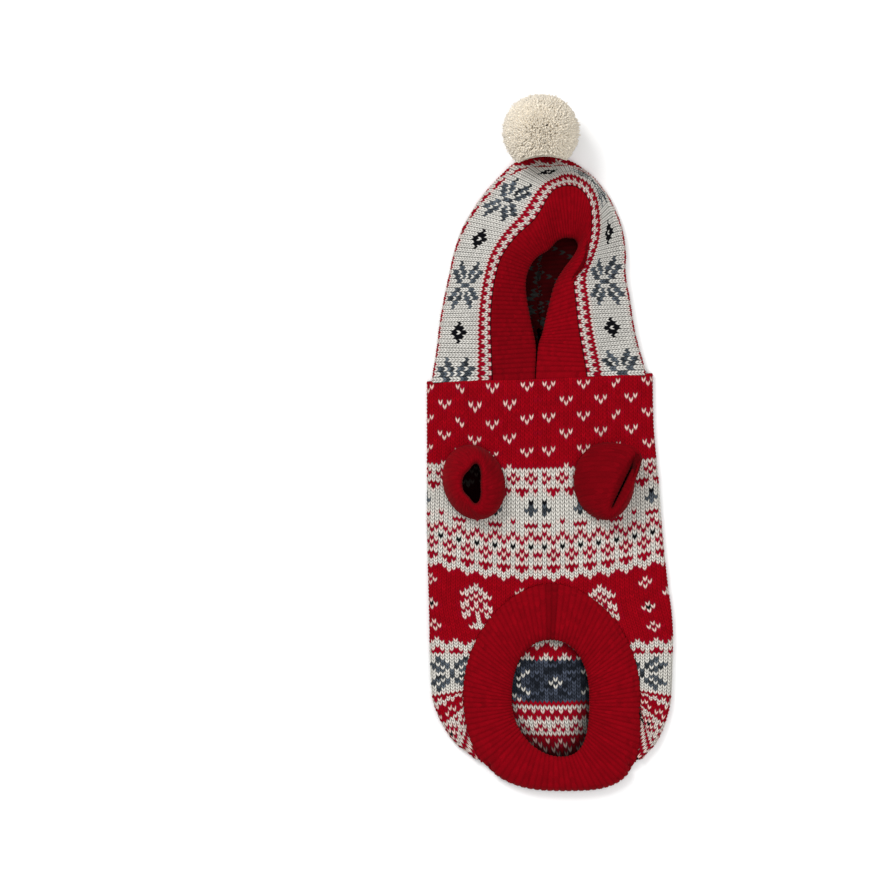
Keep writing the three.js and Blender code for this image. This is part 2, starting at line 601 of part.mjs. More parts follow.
const box = new THREE.Box3().setFromObject(garment);
const middle = box.getCenter(new THREE.Vector3());
garment.position.set(-middle.x, -middle.y, -box.min.z);
garment.updateMatrixWorld(true);

export default garment;
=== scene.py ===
"""Knit dog hoodie laid flat, belly side up: a patterned body tube with a ribbed hem ring, two leg cuffs, and
a hood with a ribbed face band and a pompom. Each piece is a shell of stitches on the form of its solid."""
import math

import bpy
import numpy as np
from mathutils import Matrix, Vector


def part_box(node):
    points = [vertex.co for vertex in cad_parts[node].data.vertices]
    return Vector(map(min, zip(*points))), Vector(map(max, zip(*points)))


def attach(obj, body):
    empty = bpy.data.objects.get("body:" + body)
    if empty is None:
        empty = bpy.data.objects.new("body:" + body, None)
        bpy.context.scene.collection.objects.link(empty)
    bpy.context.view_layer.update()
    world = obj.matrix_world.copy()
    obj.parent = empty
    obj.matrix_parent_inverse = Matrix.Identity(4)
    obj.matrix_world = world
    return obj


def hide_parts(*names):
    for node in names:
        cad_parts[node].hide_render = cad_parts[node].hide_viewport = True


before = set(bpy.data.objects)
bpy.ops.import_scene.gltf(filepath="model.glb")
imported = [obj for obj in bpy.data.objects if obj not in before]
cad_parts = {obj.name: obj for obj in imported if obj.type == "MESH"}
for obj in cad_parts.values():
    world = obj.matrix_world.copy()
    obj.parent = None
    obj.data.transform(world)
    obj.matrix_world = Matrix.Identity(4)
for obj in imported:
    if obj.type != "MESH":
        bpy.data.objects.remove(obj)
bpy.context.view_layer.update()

bl_info = {
    "name": "Knit dog hoodie",
    "version": (1, 0, 0),
    "blender": (4, 5, 0),
    "location": "3D View > Sidebar > Hoodie",
    "description": "Makes the stitches, ribs and pompom of a knit dog hoodie around its frame",
    "category": "Object",
}

# ---------------------------------------------------------------- sizes, in millimetres from the lowest hem
MM = 0.001
NECK_Y = 350.0
POMPOM_X = -8.0
# The pompom is pressed against the hood's crown, which bends away at its sides and leans back.
CROWN = dict(x=-5.0, y=540.0, bend=8.0, lean=0.09, press=0.85)
POMPOM_LOW, POMPOM_HIGH = (np.array(corner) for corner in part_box("pompom"))
BODY_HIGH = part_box("body_panel")[1]
TO_FRAME = np.array([(POMPOM_LOW[0] + POMPOM_HIGH[0]) / 2 / MM - POMPOM_X, BODY_HIGH[1] / MM - NECK_Y, 0.0])

FOLD_RADIUS = 3.8  # of the body's side folds
NECK_RISE = 7.4
NECK_SLOPE_START = 285.0
SEAM_TILT = 3.5  # the neck seam climbs from the left to the right by twice this
TILT_COURSES = 58  # the tilt is lost this far down
# Centre seam of the belly: its x at the neck, and how it wanders to the right on its way to the ring.
BELLY_SEAM = dict(x=-9.8, drift=8.0, y=175.0, over=55.0)
BELLY_SWELL = 0.8  # how much higher the belly is than its side folds
# The belly's courses hang in a bow that grows and fades from course to course.
BELLY_BOW = dict(least=1.0, deep=12.5, grown=48.0, fades=58.0, over=22.0)
# Near the hem the belly's courses turn with the outline.
HEM_SWING = dict(share=1.5, y=116.0, over=30.0)
# The left of the chest hangs a little low.
CHEST_SAG = dict(x=-54.0, wide=28.0, deep=5.5, y=279.0, below=22.0, above=32.0)
# How deep the belly's edges are tucked in under the ring, the cuffs and the neck seam, and over what width.
TUCK = dict(ring=3.4, ring_wide=6.0, cuff=2.0, cuff_wide=0.18, neck=1.0, neck_wide=2.5)
# Widths beside a side fold over which the belly's rise, its tucks and the back's creases set in.
FOLD_FADE = dict(rise=9.0, tuck=4.0, under=14.0)
UNDULATION = 0.35
# Light inside the tube: where it falls in beside the mouth, how much is left far from it, and how it fades.
INNER_LIGHT = dict(x=-4.0, y=8.0, least=0.04, reach=1.2, over=0.55)
BODY_WALES = 107  # round the tube: the back's middle is in wale 0 and the belly seam at either end
BODY_COURSES = 108
SPLIT_WALE = 22  # where the back piece and the belly piece meet, under the garment
CORNER_Y = 26.0  # corners of the hem
LEG_SEAM_WALE = 36  # short seams run from the neck to the leg holes here, and the motifs on them are cut off
LEG_SEAM_COURSES = 22
TRELLIS_TOP = 38
RING_TOP_COURSE = 66
RING_RADIUS = 80.0  # turns a share of the ring's oval into a distance
RING_CUT = -5.5  # the belly is cut away this far inside the ring's edge
LEG_CUT = 0.76  # and to this share of a cuff's base
CUT_DEPTH = 4.0  # cut-outs leave the cloth below this depth under the side folds' top as it is


def table(names, *rows):
    """Named columns of numbers."""
    return {name: np.array([row[i] for row in rows], float) for i, name in enumerate(names.split())}


OUTLINE = table(
    "y left right",
    (26, -64, 80), (39, -80, 91), (55, -91, 98.5), (75, -99, 103.5), (110, -101.5, 105), (141, -102, 105),
    (182, -103, 100), (223, -104, 96), (263, -104, 93), (304, -104, 89), (350, -104, 88),
)
# How far the back's rows sag below their ends at the side folds.
SAG = table("y deep", (26, 21), (53, 11.8), (83, 9.0), (113, 6.8), (200, 0))
# Height of some courses of the body at its side folds.
COURSE_Y = table(
    "course y",
    (0, 350), (22, 279), (38, 231), (47.5, 198.5), (51, 190), (71, 130), (88, 83), (108, 26),
)
RING = dict(x=2, y=84, half=75, top=91, bottom=85, lean=12, square_top=1.85, square_bottom=3)
MOUTH = dict(x=1, y=78, half=33.5, top=50, bottom=50, lean=9, square_top=2.2, square_bottom=2.2)
HEM_TURN = 13.0  # below its corners, the height over which the band turns round the back hem
HEM_CORNER = 8.0  # height over which its seam passes from the belly side to the back
HEM_SEAM = dict(belly_under=0.6, back_z=1.2, back_clear=1.2)
HEM_RIBS = 100
HEM_COURSES = 18
# Way of the hem band from its seam to the opening, on the belly side and round the bottom hem.
HEM_WAY = table(
    "belly_share belly_z hem_share hem_z",
    (0.02, 8.4, 0.0, 0.8), (0.1, 10.6, 0.06, 1.6), (0.24, 13.4, 0.0, 6.6), (0.5, 15.4, 0.14, 12.4),
    (0.78, 14.8, 0.55, 14.2), (0.95, 12.6, 0.93, 12.2), (1.02, 9.6, 1.02, 9.4),
)
HOOD_NAMES = "side_x side_y seam_x seam_y seam_z edge_x edge_y edge_z"
HOOD_LEFT = table(
    HOOD_NAMES,
    (-100.5, 350, -48.5, 350, 15, -12.3, 350.5, 15), (-96, 376, -49.5, 374, 19, -11.6, 376, 15),
    (-93.5, 396, -50, 396, 22, -15.5, 396, 17), (-90, 416, -49, 416, 25, -19, 415, 18),
    (-85.5, 437, -46, 435, 27, -20, 431, 19), (-81, 457, -40.5, 452, 28, -16.5, 443, 19),
    (-73.5, 478, -29, 468, 28, -10.5, 451, 18), (-61.5, 498, -14.5, 481.5, 28, -2.5, 456, 16),
    (-54, 508, -7, 492, 27, 2, 460, 14), (-43, 520, -1.5, 502, 25, 6.5, 465, 13),
    (-28, 533, 5, 509, 23, 12, 467.5, 12.5), (-4, 541, 14, 512, 21, 17, 467.5, 12.5),
)
HOOD_RIGHT = table(
    HOOD_NAMES,
    (83, 350, 32, 350, 15, -11.7, 350.5, 15), (76, 376, 28, 372, 19, -9.6, 376, 15),
    (72, 396, 24.5, 392, 22, -6, 388, 16), (69, 416, 22, 414, 25, -2, 406, 16),
    (65.5, 437, 20.5, 433, 27, 3.5, 427, 14), (65.5, 457, 28, 449, 28, 11, 440.5, 11.5),
    (62, 478, 34, 465.5, 28, 18, 449.5, 10.5), (54, 498, 35.3, 480.5, 28, 22.5, 456, 10.5),
    (48, 508, 34.3, 494, 27, 24, 460.5, 11), (38, 520, 30, 504, 25, 23, 464.5, 11.5),
    (20, 533, 22.5, 510.5, 23, 20.5, 467, 12), (-4, 541, 14, 512, 21, 17, 467.5, 12.5),
)
LAST = 11  # last row of the hood's tables, at the crown
BACK_SEAM = dict(x=-8.0, y=np.array([350, 372, 392, 412, 432, 452, 470, 486, 497, 508, 518, 527], float))
BACK_LAP = 2.5  # the two edges overlap there, in millimetres
WALES_EVEN = 0.4  # its wales are evenly wide this share of the way from the face seam to the side fold
HOOD_CREASE_RISE = 170.0  # how far up the back's creases come again under the hood
SEAM_COURSE = 0.4  # and a course that has begun within this part of itself is knit
HOOD_FOLD = dict(neck=11.0, crown=8.0)  # height of the hood's side fold
HOOD_SLACK = 1.02  # its upper side is this much longer than its flat width
HOOD_WALES = 110
HOOD_COURSES = 49
HOOD_FIRST_ROW = 92  # row of the chart that is sewn to the face band
HOOD_SHIFTS = (12, -15)  # where the stars and the pictures of the chart fall on the hood, in wales
HOOD_CREAM_SHADE = (0.94, 0.945, 0.96)  # painted shade: the hood's cream is dimmed and cooled beside the body's, as the hood lies in shade
HOOD_INSIDE = 0.1  # little light reaches the hood's inside, and its cream stays dimmer still
HOOD_INSIDE_CREAM = 0.25
REAR_COURSE = 3.3  # height of a course behind the side fold
# Shares of the width from the face seam to the side fold where four of the courses lie, by station.
SPREAD_COURSES = (5.0, 10.5, 16.6, 20.6)
HOOD_SPREAD = table(
    "station near star fold teeth",
    (0, 0.29, 0.62, 0.96, 1.22), (5, 0.29, 0.61, 0.95, 1.2), (6, 0.29, 0.60, 0.92, 1.12),
    (7, 0.29, 0.60, 0.91, 1.06), (8, 0.29, 0.59, 0.88, 1.02), (9, 0.29, 0.57, 0.86, 0.99),
    (10, 0.29, 0.50, 0.74, 0.86), (11, 0.34, 0.45, 0.55, 0.66), (12, 0.56, 0.64, 0.73, 0.80),
    (13, 0.70, 0.80, 0.90, 1.0), (14, 0.60, 0.76, 0.93, 1.05), (15, 0.50, 0.70, 0.94, 1.1),
    (16, 0.37, 0.58, 0.95, 1.15), (17, 0.30, 0.52, 0.95, 1.2), (18.2, 0.28, 0.58, 0.95, 1.2),
    (22, 0.30, 0.60, 0.96, 1.22),
)
FACE_RIBS = 96
FACE_COURSES = 14
FACE_SEAM = dict(inward=0.4, under=0.6)  # the band starts a little inside and under the hood's edge
FACE_FORM = dict(bulge=0.25, welt=1.1, lip=1.6, lip_from=0.93)
# On the right the face band turns over the hood.
ROLL = dict(station=17.2, spread=0.9, share=0.15, wide=0.13, out=6.0, rise=2.4)
NECK_FADE = 50.0  # height over which the hood loses the neck's tilt
HOOD_EDGE = dict(sink=0.9, wide=2.2)  # the hood sinks a little into its seam with the face band
# How the hood and the face band end under the neck seam: how far they reach and sink, over how many wales.
HOOD_TUCK = dict(reach=1.6, sink=1.2, wide=1.2, least_z=2.0)
FACE_TUCK = dict(reach=2.6, sink=1.2, wide=0.8)

CUFFS = {
    "leg_cuff_left": dict(
        base=(-64, 261), base_half=(26.5, 32.5), base_turn=20, rim=(-65, 260), rim_half=(10.5, 21), turn=0,
        tall=25, pinch=0.16, shade=0.6, shut=0.0),
    "leg_cuff_right": dict(
        base=(45.5, 262), base_half=(26, 32), base_turn=0, rim=(62.5, 261), rim_half=(7, 30.5), turn=-26,
        tall=26, pinch=0.0, shade=0.52, shut=0.86),
}
CUFF_RIBS = 40
CUFF_COURSES = 16
# Way of a cuff from its foot over the rim and a little down inside, where its two sides may lie shut.
CUFF_WAY = table(
    "to_rim rise swell shut",
    (0.0, -0.1, 0.8, 0), (0.0, 0.05, 0.81, 0), (0.03, 0.22, 1.0, 0), (0.36, 0.64, 1.04, 0),
    (0.78, 0.92, 1.03, 0), (0.96, 0.99, 0.93, 0), (1.0, 0.93, 0.82, 0.2), (1.0, 0.80, 0.76, 0.75),
    (1.0, 0.66, 0.74, 1.0),
)

# Soft creases: a line from one point to another, half width, and depth (below zero it is a trough).
CREASE_NAMES = "x0 y0 x1 y1 wide deep"
BELLY_CREASES = table(
    CREASE_NAMES,
    (-68, 352, -67, 292, 2.2, -1.1), (51, 353, 50, 294, 2.2, -1.2), (-9.8, 350, -9.8, 180, 1.6, -0.7),
    (-30, 250, 12, 226, 9, -1.2), (-38, 232, -86, 214, 8, -1.0), (24, 226, 70, 212, 9, -1.3),
    (-88, 196, -52, 182, 7, -0.9), (86, 186, 48, 176, 8, -1.0), (-14, 330, 20, 318, 10, 0.8),
    (-96, 150, -78, 132, 6, -1.0), (99, 146, 80, 128, 6, -1.1), (-30, 206, 6, 198, 7, 0.9),
    (-100, 300, -92, 240, 6, -0.8), (84, 318, 80, 300, 6, 0.8), (-92, 96, -78, 86, 4, -0.9),
    (98, 92, 82, 84, 4, -0.8),
)
BACK_CREASES = table(
    CREASE_NAMES,
    (-60, 300, 10, 288, 9, 1.0), (30, 262, 76, 244, 8, 0.9), (-84, 210, -20, 196, 10, 1.1),
    (14, 160, 70, 150, 9, 0.9), (-70, 120, -28, 96, 8, 1.0), (44, 92, 74, 72, 7, 0.8),
    (-12, 60, 22, 44, 8, 0.7), (-40, 334, -14, 344, 6, 0.7),
)
HOOD_CREASES = table(
    CREASE_NAMES,
    (-88, 372, -60, 366, 6, -1.1), (-84, 430, -62, 440, 7, -0.9), (-66, 476, -44, 468, 6, -1.0),
    (-46, 500, -28, 486, 5, 0.9), (70, 380, 44, 372, 6, -1.0), (60, 424, 38, 418, 5, -1.1),
    (56, 470, 46, 486, 5, -0.9), (-74, 396, -56, 402, 6, 0.8), (20, 524, 26, 514, 5, -0.8),
)

# ---------------------------------------------------------------- colours of yarn, charted motifs
RED, CREAM, GREY, BLACK, NAVY = range(5)

REINDEER = (
    ".....#..#.....", "...#.#.#..#...", "....##.##.#...", ".....#####....", "........###...",
    "........#####.", "........######", "........###...", ".......####...", "##....#####...",
    "###########...", ".##########...", ".##########...", ".###....###...", ".##......##...",
    "##.#....#.##..", "#..#....#..#..", "##.##...##.##.",
)
TREE = (
    "...#...", "..###..", ".##.##.", "##.#.##", "..#.#..", ".#.#.#.", "##.#.##", "#.#.#.#", ".#.#.#.",
    "##.#.##", "#..#..#", "...#...", "..###..", ".#####.",
)
FLOWER = (".#.", "#o#", ".#.")
STAR = (
    "..#.....#..", "..##...##..", "##.##.##.##", ".##.#.#.##.", "..##.#.##..", ".....#.....", "..##.#.##..",
    ".##.#.#.##.", "##.##.##.##", "..##...##..", "..#.....#..",
)
DIAMOND = ("..#..", ".###.", "##.##", ".###.", "..#..")
STAR_BACK = (
    "..#.....#..", "...#...#...", "#...#.#...#", ".#.......#.", "..#.....#..", "...........", "..#.....#..",
    ".#.......#.", "#...#.#...#", "...#...#...", "..#.....#..",
)
DIAMOND_BACK = (".#.", "#.#", ".#.")
PICTURE_REPEAT = 40  # wales
STAR_REPEAT = 22
STAR_ROW = 77  # first row of the stars


def place_motif(colours, wale, row, motif, centre, first_row, repeat, colour, dot=BLACK):
    """Knits a motif into the chart at every repeat, its middle wale at centre and its top at first_row."""
    width = len(motif[0])
    x = (wale - centre + width // 2) % repeat
    y = row - first_row
    inside = (x < width) & (y >= 0) & (y < len(motif))
    signs = np.array([[" .#o".index(sign) for sign in line] for line in motif])
    sign = np.where(inside, signs[np.clip(y, 0, len(motif) - 1), np.clip(x, 0, width - 1)], 0)
    colours[sign == 2] = colour
    colours[sign == 3] = dot


# The narrow borders by their row below the neck: one repeat, from wale 0, in r for red, c for cream, g for
# grey and k for black. The rows that aren't here are red.
BORDERS = {
    # scattered three-stitch motifs
    1: "rrrcrcrr", 2: "rrrrcrrr", 5: "rcrrrrrc", 6: "crrrrrrr", 9: "rrrcrcrr", 10: "rrrrcrrr",
    13: "rcrrrrrc", 14: "crrrrrrr", 17: "rrrcrcrr", 18: "rrrrcrrr", 21: "crrrrrrr",
    # cream with red crosses and red teeth
    22: "c", 23: "rccc", 24: "cr", 25: "rccc", 26: "c", 27: "crrr", 28: "ccrc", 29: "c",
    # black and grey buds over red bars
    30: "cccckccc", 31: "ccccgccc", 32: "cccgggcc", 33: "ccccgccc", 34: "c", 35: "rccccccc", 36: "cccrrrcc",
    # red trellis round black dots, then teeth
    37: "c", 38: "rccc", 39: "cr", 40: "ccrc", 41: "kccc", 42: "ccrc", 43: "cr", 44: "ccrc", 45: "c",
    46: "crrr", 47: "ccrc", 48: "c", 49: "rccc", 50: "rrcr",
    # teeth over and under the edge of the star band
    71: "rrcr", 72: "rccc", 73: "c", 74: "ccrc", 75: "crrr", **dict.fromkeys(range(76, 89), "c"),
    # cream zigzag and single stitches
    90: "cr", 91: "c", 92: "rc", 94: "crrr", 95: "rc",
    # red diamonds round black dots, then thin stripes
    97: "c", 98: "rccrcc", 99: "crcccr", 100: "kcrcrc", 101: "crcccr", 102: "rccrcc", 103: "c",
    105: "c", 107: "cr",
}


def borders(wale, row):
    """Colours of the narrow borders' stitches."""
    colours = np.full(wale.shape, RED)
    for border_row, repeat in BORDERS.items():
        there = row == border_row
        signs = np.array(["rcgk".index(sign) for sign in repeat])
        colours[there] = signs[wale[there] % len(repeat)]
    return colours


def outside_chart(wale, row, star_shift=0, picture_shift=0):
    """Colour of each stitch of the patterned knit, by its wale and its row below the neck."""
    colours = borders(wale, row)
    picture = wale + picture_shift
    for motif, centre, first_row, dot in (
        (REINDEER, 20, 52, RED), (TREE, 0, 53, RED),
        (FLOWER, 10, 53, RED), (FLOWER, 10, 60, BLACK), (FLOWER, 10, 66, RED),
        (FLOWER, -10, 53, RED), (FLOWER, -10, 60, BLACK), (FLOWER, -10, 66, RED),
    ):
        place_motif(colours, picture, row, motif, centre, first_row, PICTURE_REPEAT, CREAM, dot)
    place_motif(colours, wale + star_shift, row, STAR, STAR_REPEAT // 2, STAR_ROW, STAR_REPEAT, GREY)
    place_motif(colours, wale + star_shift, row, DIAMOND, 0, STAR_ROW + 3, STAR_REPEAT, BLACK)
    return colours


def inside_chart(wale, row, star_shift=0, picture_shift=0):
    """Colour of each stitch of the knit's second face: red and cream swap, and the star band is tweed."""
    outside = outside_chart(wale, row, star_shift, picture_shift)
    colours = np.where(outside == RED, CREAM, RED)
    picture = (row > 50) & (row < 70)
    colours[picture] = np.where((wale * 3 + row * 5) % 13 == 0, CREAM, RED)[picture]
    colours[(row > 75) & (row < 88)] = NAVY
    place_motif(colours, wale + star_shift, row, STAR_BACK, STAR_REPEAT // 2, STAR_ROW, STAR_REPEAT, CREAM)
    place_motif(colours, wale + star_shift, row, DIAMOND_BACK, 0, STAR_ROW + 4, STAR_REPEAT, CREAM)
    return colours


# ---------------------------------------------------------------- curves and the garment's form
def ease(share):
    """0 to 1 with a soft start and end."""
    share = np.clip(share, 0, 1)
    return share * share * (3 - 2 * share)


def mix(start, end, share):
    return start + (end - start) * share


def dies_away(distance, width):
    """1 at no distance, and nearly nothing beyond twice the width."""
    return np.exp(-(distance / width) ** 2)


def between(values, place):
    """Values at places between the rows of a column, or of a stack of points, on a smooth curve."""
    last = len(values) - 1
    place = np.clip(place, 0, last)
    i = np.minimum(place.astype(int), last - 1)
    t = place - i
    own = ()
    if values.ndim > 1:
        t = t[:, None]
        own = (np.arange(len(place)),)
    before, start, end, after = (values[(np.clip(i + k, 0, last), *own)] for k in (-1, 0, 1, 2))
    smooth = start * (1 + 2 * t) * (1 - t) ** 2 + end * t * t * (3 - 2 * t)
    return smooth + (end - before) / 2 * t * (1 - t) ** 2 - (after - start) / 2 * t * t * (1 - t)


def outline(y, side):
    rows = OUTLINE["y"]
    i = np.clip(np.searchsorted(rows, y) - 1, 0, len(rows) - 2)
    return between(OUTLINE[side], i + np.clip((y - rows[i]) / (rows[i + 1] - rows[i]), 0, 1))


def oval_reach(oval, x, y):
    """How far out of an oval a point lies: 1 on it, more outside."""
    rise = y - oval["y"]
    down = np.clip(-rise / oval["bottom"], 0, 1.3)
    tall = np.where(rise > 0, oval["top"], oval["bottom"])
    square = np.where(rise > 0, oval["square_top"], oval["square_bottom"])
    across = np.abs(x - oval["x"] - oval["lean"] * down ** 2) / oval["half"]
    return (across ** square + np.abs(rise / tall) ** square) ** (1 / square)


def oval_point(oval, angle):
    c, s = np.cos(angle), np.sin(angle)
    tall = np.where(s > 0, oval["top"], oval["bottom"])
    square = np.where(s > 0, oval["square_top"], oval["square_bottom"])
    r = ((np.abs(c) / oval["half"]) ** square + (np.abs(s) / tall) ** square) ** (-1 / square)
    down = np.maximum(0, -r * s / oval["bottom"])
    return oval["x"] + r * c + oval["lean"] * down ** 2, oval["y"] + r * s


def creases(rows, x, y):
    """Height that the soft creases add at a place."""
    height = np.zeros_like(x)
    for x0, y0, x1, y1, wide, deep in zip(*rows.values()):
        length = math.hypot(x1 - x0, y1 - y0)
        along = ((x - x0) * (x1 - x0) + (y - y0) * (y1 - y0)) / length ** 2
        beside = ((x - x0) * (y1 - y0) - (y - y0) * (x1 - x0)) / length
        ends = ease((along + 0.1) / 0.35) * ease((1.1 - along) / 0.35)
        height += deep * dies_away(beside, wide) * ends
    return height


def undulation(x, y):
    """Height of slow swells with no even spacing."""
    swells = np.sin(x / 17 + y / 31) + np.sin(y / 23 - x / 29 + 1.3)
    return UNDULATION * swells * np.sin(x / 41 - y / 37)


def neck_tilt(x):
    """How far up the neck seam's slant moves a point."""
    left, right = OUTLINE["left"][-1], OUTLINE["right"][-1]
    return SEAM_TILT * np.clip((2 * x - left - right) / (right - left), -1, 1)


def belly_height(x, y):
    """Height of the belly over the floor, without its creases."""
    side = np.where(x < 0, outline(y, "left"), outline(y, "right"))
    seam = np.where(x < 0, HOOD_LEFT["seam_x"][0], HOOD_RIGHT["seam_x"][0])
    inward = np.sin(np.clip((side - x) / (side - seam), 0, 1) * math.pi / 2)
    soft = BELLY_SWELL * np.sin(np.clip((side - x) / side, 0, 1) * math.pi / 2)
    slope = ease((y - NECK_SLOPE_START) / (NECK_Y - NECK_SLOPE_START))
    return 2 * FOLD_RADIUS + soft + NECK_RISE * inward * slope


def hem_sag(y, x):
    """How far the back's row lies below its ends at the sides."""
    left, right = outline(y, "left"), outline(y, "right")
    u = (2 * x - left - right) / (right - left)
    return np.interp(y, SAG["y"], SAG["deep"]) * np.maximum(0, 1 - u * u) ** 1.5


def inner_light(place):
    """How much light reaches the inside of the tube: most under the ring's mouth, least up at the legs."""
    reach = oval_reach(MOUTH, place[:, 0] - INNER_LIGHT["x"], place[:, 1] - INNER_LIGHT["y"])
    return mix(INNER_LIGHT["least"], 1, ease((INNER_LIGHT["reach"] - reach) / INNER_LIGHT["over"]))


def ring_gap(x, y):
    """Distance out of the hem ring's edge, below zero inside it."""
    return (oval_reach(RING, x, y) - 1) * RING_RADIUS


def cuff_reach(x, y):
    """How far the middle of the nearest leg hole is, as a share of its cuff's base."""
    reaches = []
    for cuff in CUFFS.values():
        (cx, cy), (rx, ry) = cuff["base"], cuff["base_half"]
        reaches.append(np.hypot((x - cx) / rx, (y - cy) / ry))
    return np.minimum(*reaches)


def body_point(wale, course):
    """Outer face of the body: wale 0 is the back's middle and the belly seam is at either end."""
    half = BODY_WALES / 2
    around = (wale - 0.5 + half) % BODY_WALES - half
    side = np.where(around < 0, -1.0, 1.0)
    y = np.interp(course, COURSE_Y["course"], COURSE_Y["y"])
    left, right = outline(y, "left"), outline(y, "right")
    fold = np.where(side < 0, left, right)
    seam_x = BELLY_SEAM["x"] + BELLY_SEAM["drift"] * ease((BELLY_SEAM["y"] - y) / BELLY_SEAM["over"])
    back_x = left + right - seam_x
    back = side * (fold - back_x) - FOLD_RADIUS
    belly = side * (fold - seam_x) - FOLD_RADIUS
    turn = math.pi * FOLD_RADIUS
    arc = np.abs(around) * (back + turn + belly) / half
    angle = np.clip((arc - back) / FOLD_RADIUS, 0, math.pi)
    over = np.maximum(arc - back - turn, 0)
    step = 4.0
    slant = np.arctan2(np.abs(outline(y + step, "left") - outline(y - step, "left")), 2 * step)
    swing = HEM_SWING["share"] * slant * ease((HEM_SWING["y"] - y) / HEM_SWING["over"])
    x = back_x + side * (np.minimum(arc, back) + FOLD_RADIUS * np.sin(angle) - over * np.cos(swing))
    share = over / belly
    bow = BELLY_BOW["least"] + BELLY_BOW["deep"] * ease(course / BELLY_BOW["grown"])
    bow = bow * (1 - ease((course - BELLY_BOW["fades"]) / BELLY_BOW["over"]))
    on_top = over > 0
    y_top = y + over * np.sin(swing) - bow * share * (2 - share)
    low = ease((y - CHEST_SAG["y"]) / CHEST_SAG["below"]) * ease((NECK_Y - y) / CHEST_SAG["above"])
    y_top -= CHEST_SAG["deep"] * low * dies_away(x - CHEST_SAG["x"], CHEST_SAG["wide"])
    y = np.where(on_top, y_top, y - hem_sag(y, x)) + neck_tilt(x) * np.clip(1 - course / TILT_COURSES, 0, 1)
    flat = FOLD_RADIUS * (1 - np.cos(angle))
    rise = belly_height(x, y) - 2 * FOLD_RADIUS + creases(BELLY_CREASES, x, y) + undulation(x, y)
    tuck = TUCK["ring"] * ease((2 - ring_gap(x, y)) / TUCK["ring_wide"])
    tuck += TUCK["cuff"] * ease((1 - cuff_reach(x, y)) / TUCK["cuff_wide"])
    tuck += TUCK["neck"] * dies_away(y - NECK_Y - neck_tilt(x), TUCK["neck_wide"])
    top = 2 * FOLD_RADIUS + rise * ease(over / FOLD_FADE["rise"]) - tuck * ease(over / FOLD_FADE["tuck"])
    under = np.maximum(0, creases(BACK_CREASES, x, y) + 0.5 * undulation(x, y))
    under *= ease((back - arc) / FOLD_FADE["under"])
    return np.stack([x, y, np.where(on_top, top, flat + np.where(arc < back, under, 0))], -1)


def hood_value(station, name):
    """Value of a column at stations from 0, left of the neck, over the crown at LAST, to the neck's right."""
    left = station <= LAST
    place = np.where(left, station, 2 * LAST - station)
    return np.where(left, between(HOOD_LEFT[name], place), between(HOOD_RIGHT[name], place))


def hood_line(station):
    """Seam, side and back points and fold height of the hood at a station along the face edge."""
    place = np.where(station <= LAST, station, 2 * LAST - station)
    seam = np.stack([hood_value(station, "seam_" + axis) for axis in "xyz"], -1)
    side = np.stack([hood_value(station, "side_x"), hood_value(station, "side_y"), 0 * station], -1)
    back = np.stack([BACK_SEAM["x"] + 0 * station, between(BACK_SEAM["y"], place), 0 * station], -1)
    return seam, side, back, mix(HOOD_FOLD["neck"], HOOD_FOLD["crown"], ease(place / LAST))


def shares_of(points, stations):
    """Share of a line's length at each of its points, and their stations."""
    lengths = np.concatenate([[0], np.cumsum(np.linalg.norm(np.diff(points, axis=0), axis=1))])
    return lengths / lengths[-1], stations


STATIONS = np.linspace(0, 2 * LAST, 2 * LAST * 40 + 1)
SEAM_LINE, SIDE_LINE = hood_line(STATIONS)[:2]
HOOD_WAY = shares_of(mix(SEAM_LINE, SIDE_LINE, WALES_EVEN)[:, :2], STATIONS)
FACE_WAY = shares_of(SEAM_LINE[::-1], STATIONS[::-1])  # from the right of the neck to the left


def hood_parts(wale):
    """Station of a wale, its seam, where its fold begins, its back, the way out, and the three lengths."""
    station = np.interp(wale / HOOD_WALES, *HOOD_WAY)
    seam, side, back, height = hood_line(station)
    out = side - back
    out /= np.linalg.norm(out, axis=1)[:, None]
    turn = side - out * (height / 2)[:, None]
    front = np.linalg.norm((turn - seam)[:, :2], axis=1) * HOOD_SLACK
    return station, seam, turn, back, out, height / 2, front, np.linalg.norm(back - turn, axis=1)


def hood_spread(station, front, radius):
    """Distances from the face seam to the courses that the spread table places."""
    return [np.interp(station, HOOD_SPREAD["station"], HOOD_SPREAD[name]) * (front + radius)
            for name in ("near", "star", "fold", "teeth")]


def hood_reach(wale):
    """Number of courses from the face seam, over the side fold, to the back seam."""
    station, _, _, _, _, radius, front, rear = hood_parts(wale)
    last = hood_spread(station, front, radius)[-1]
    return SPREAD_COURSES[-1] + (front + math.pi * radius + rear - last) / REAR_COURSE


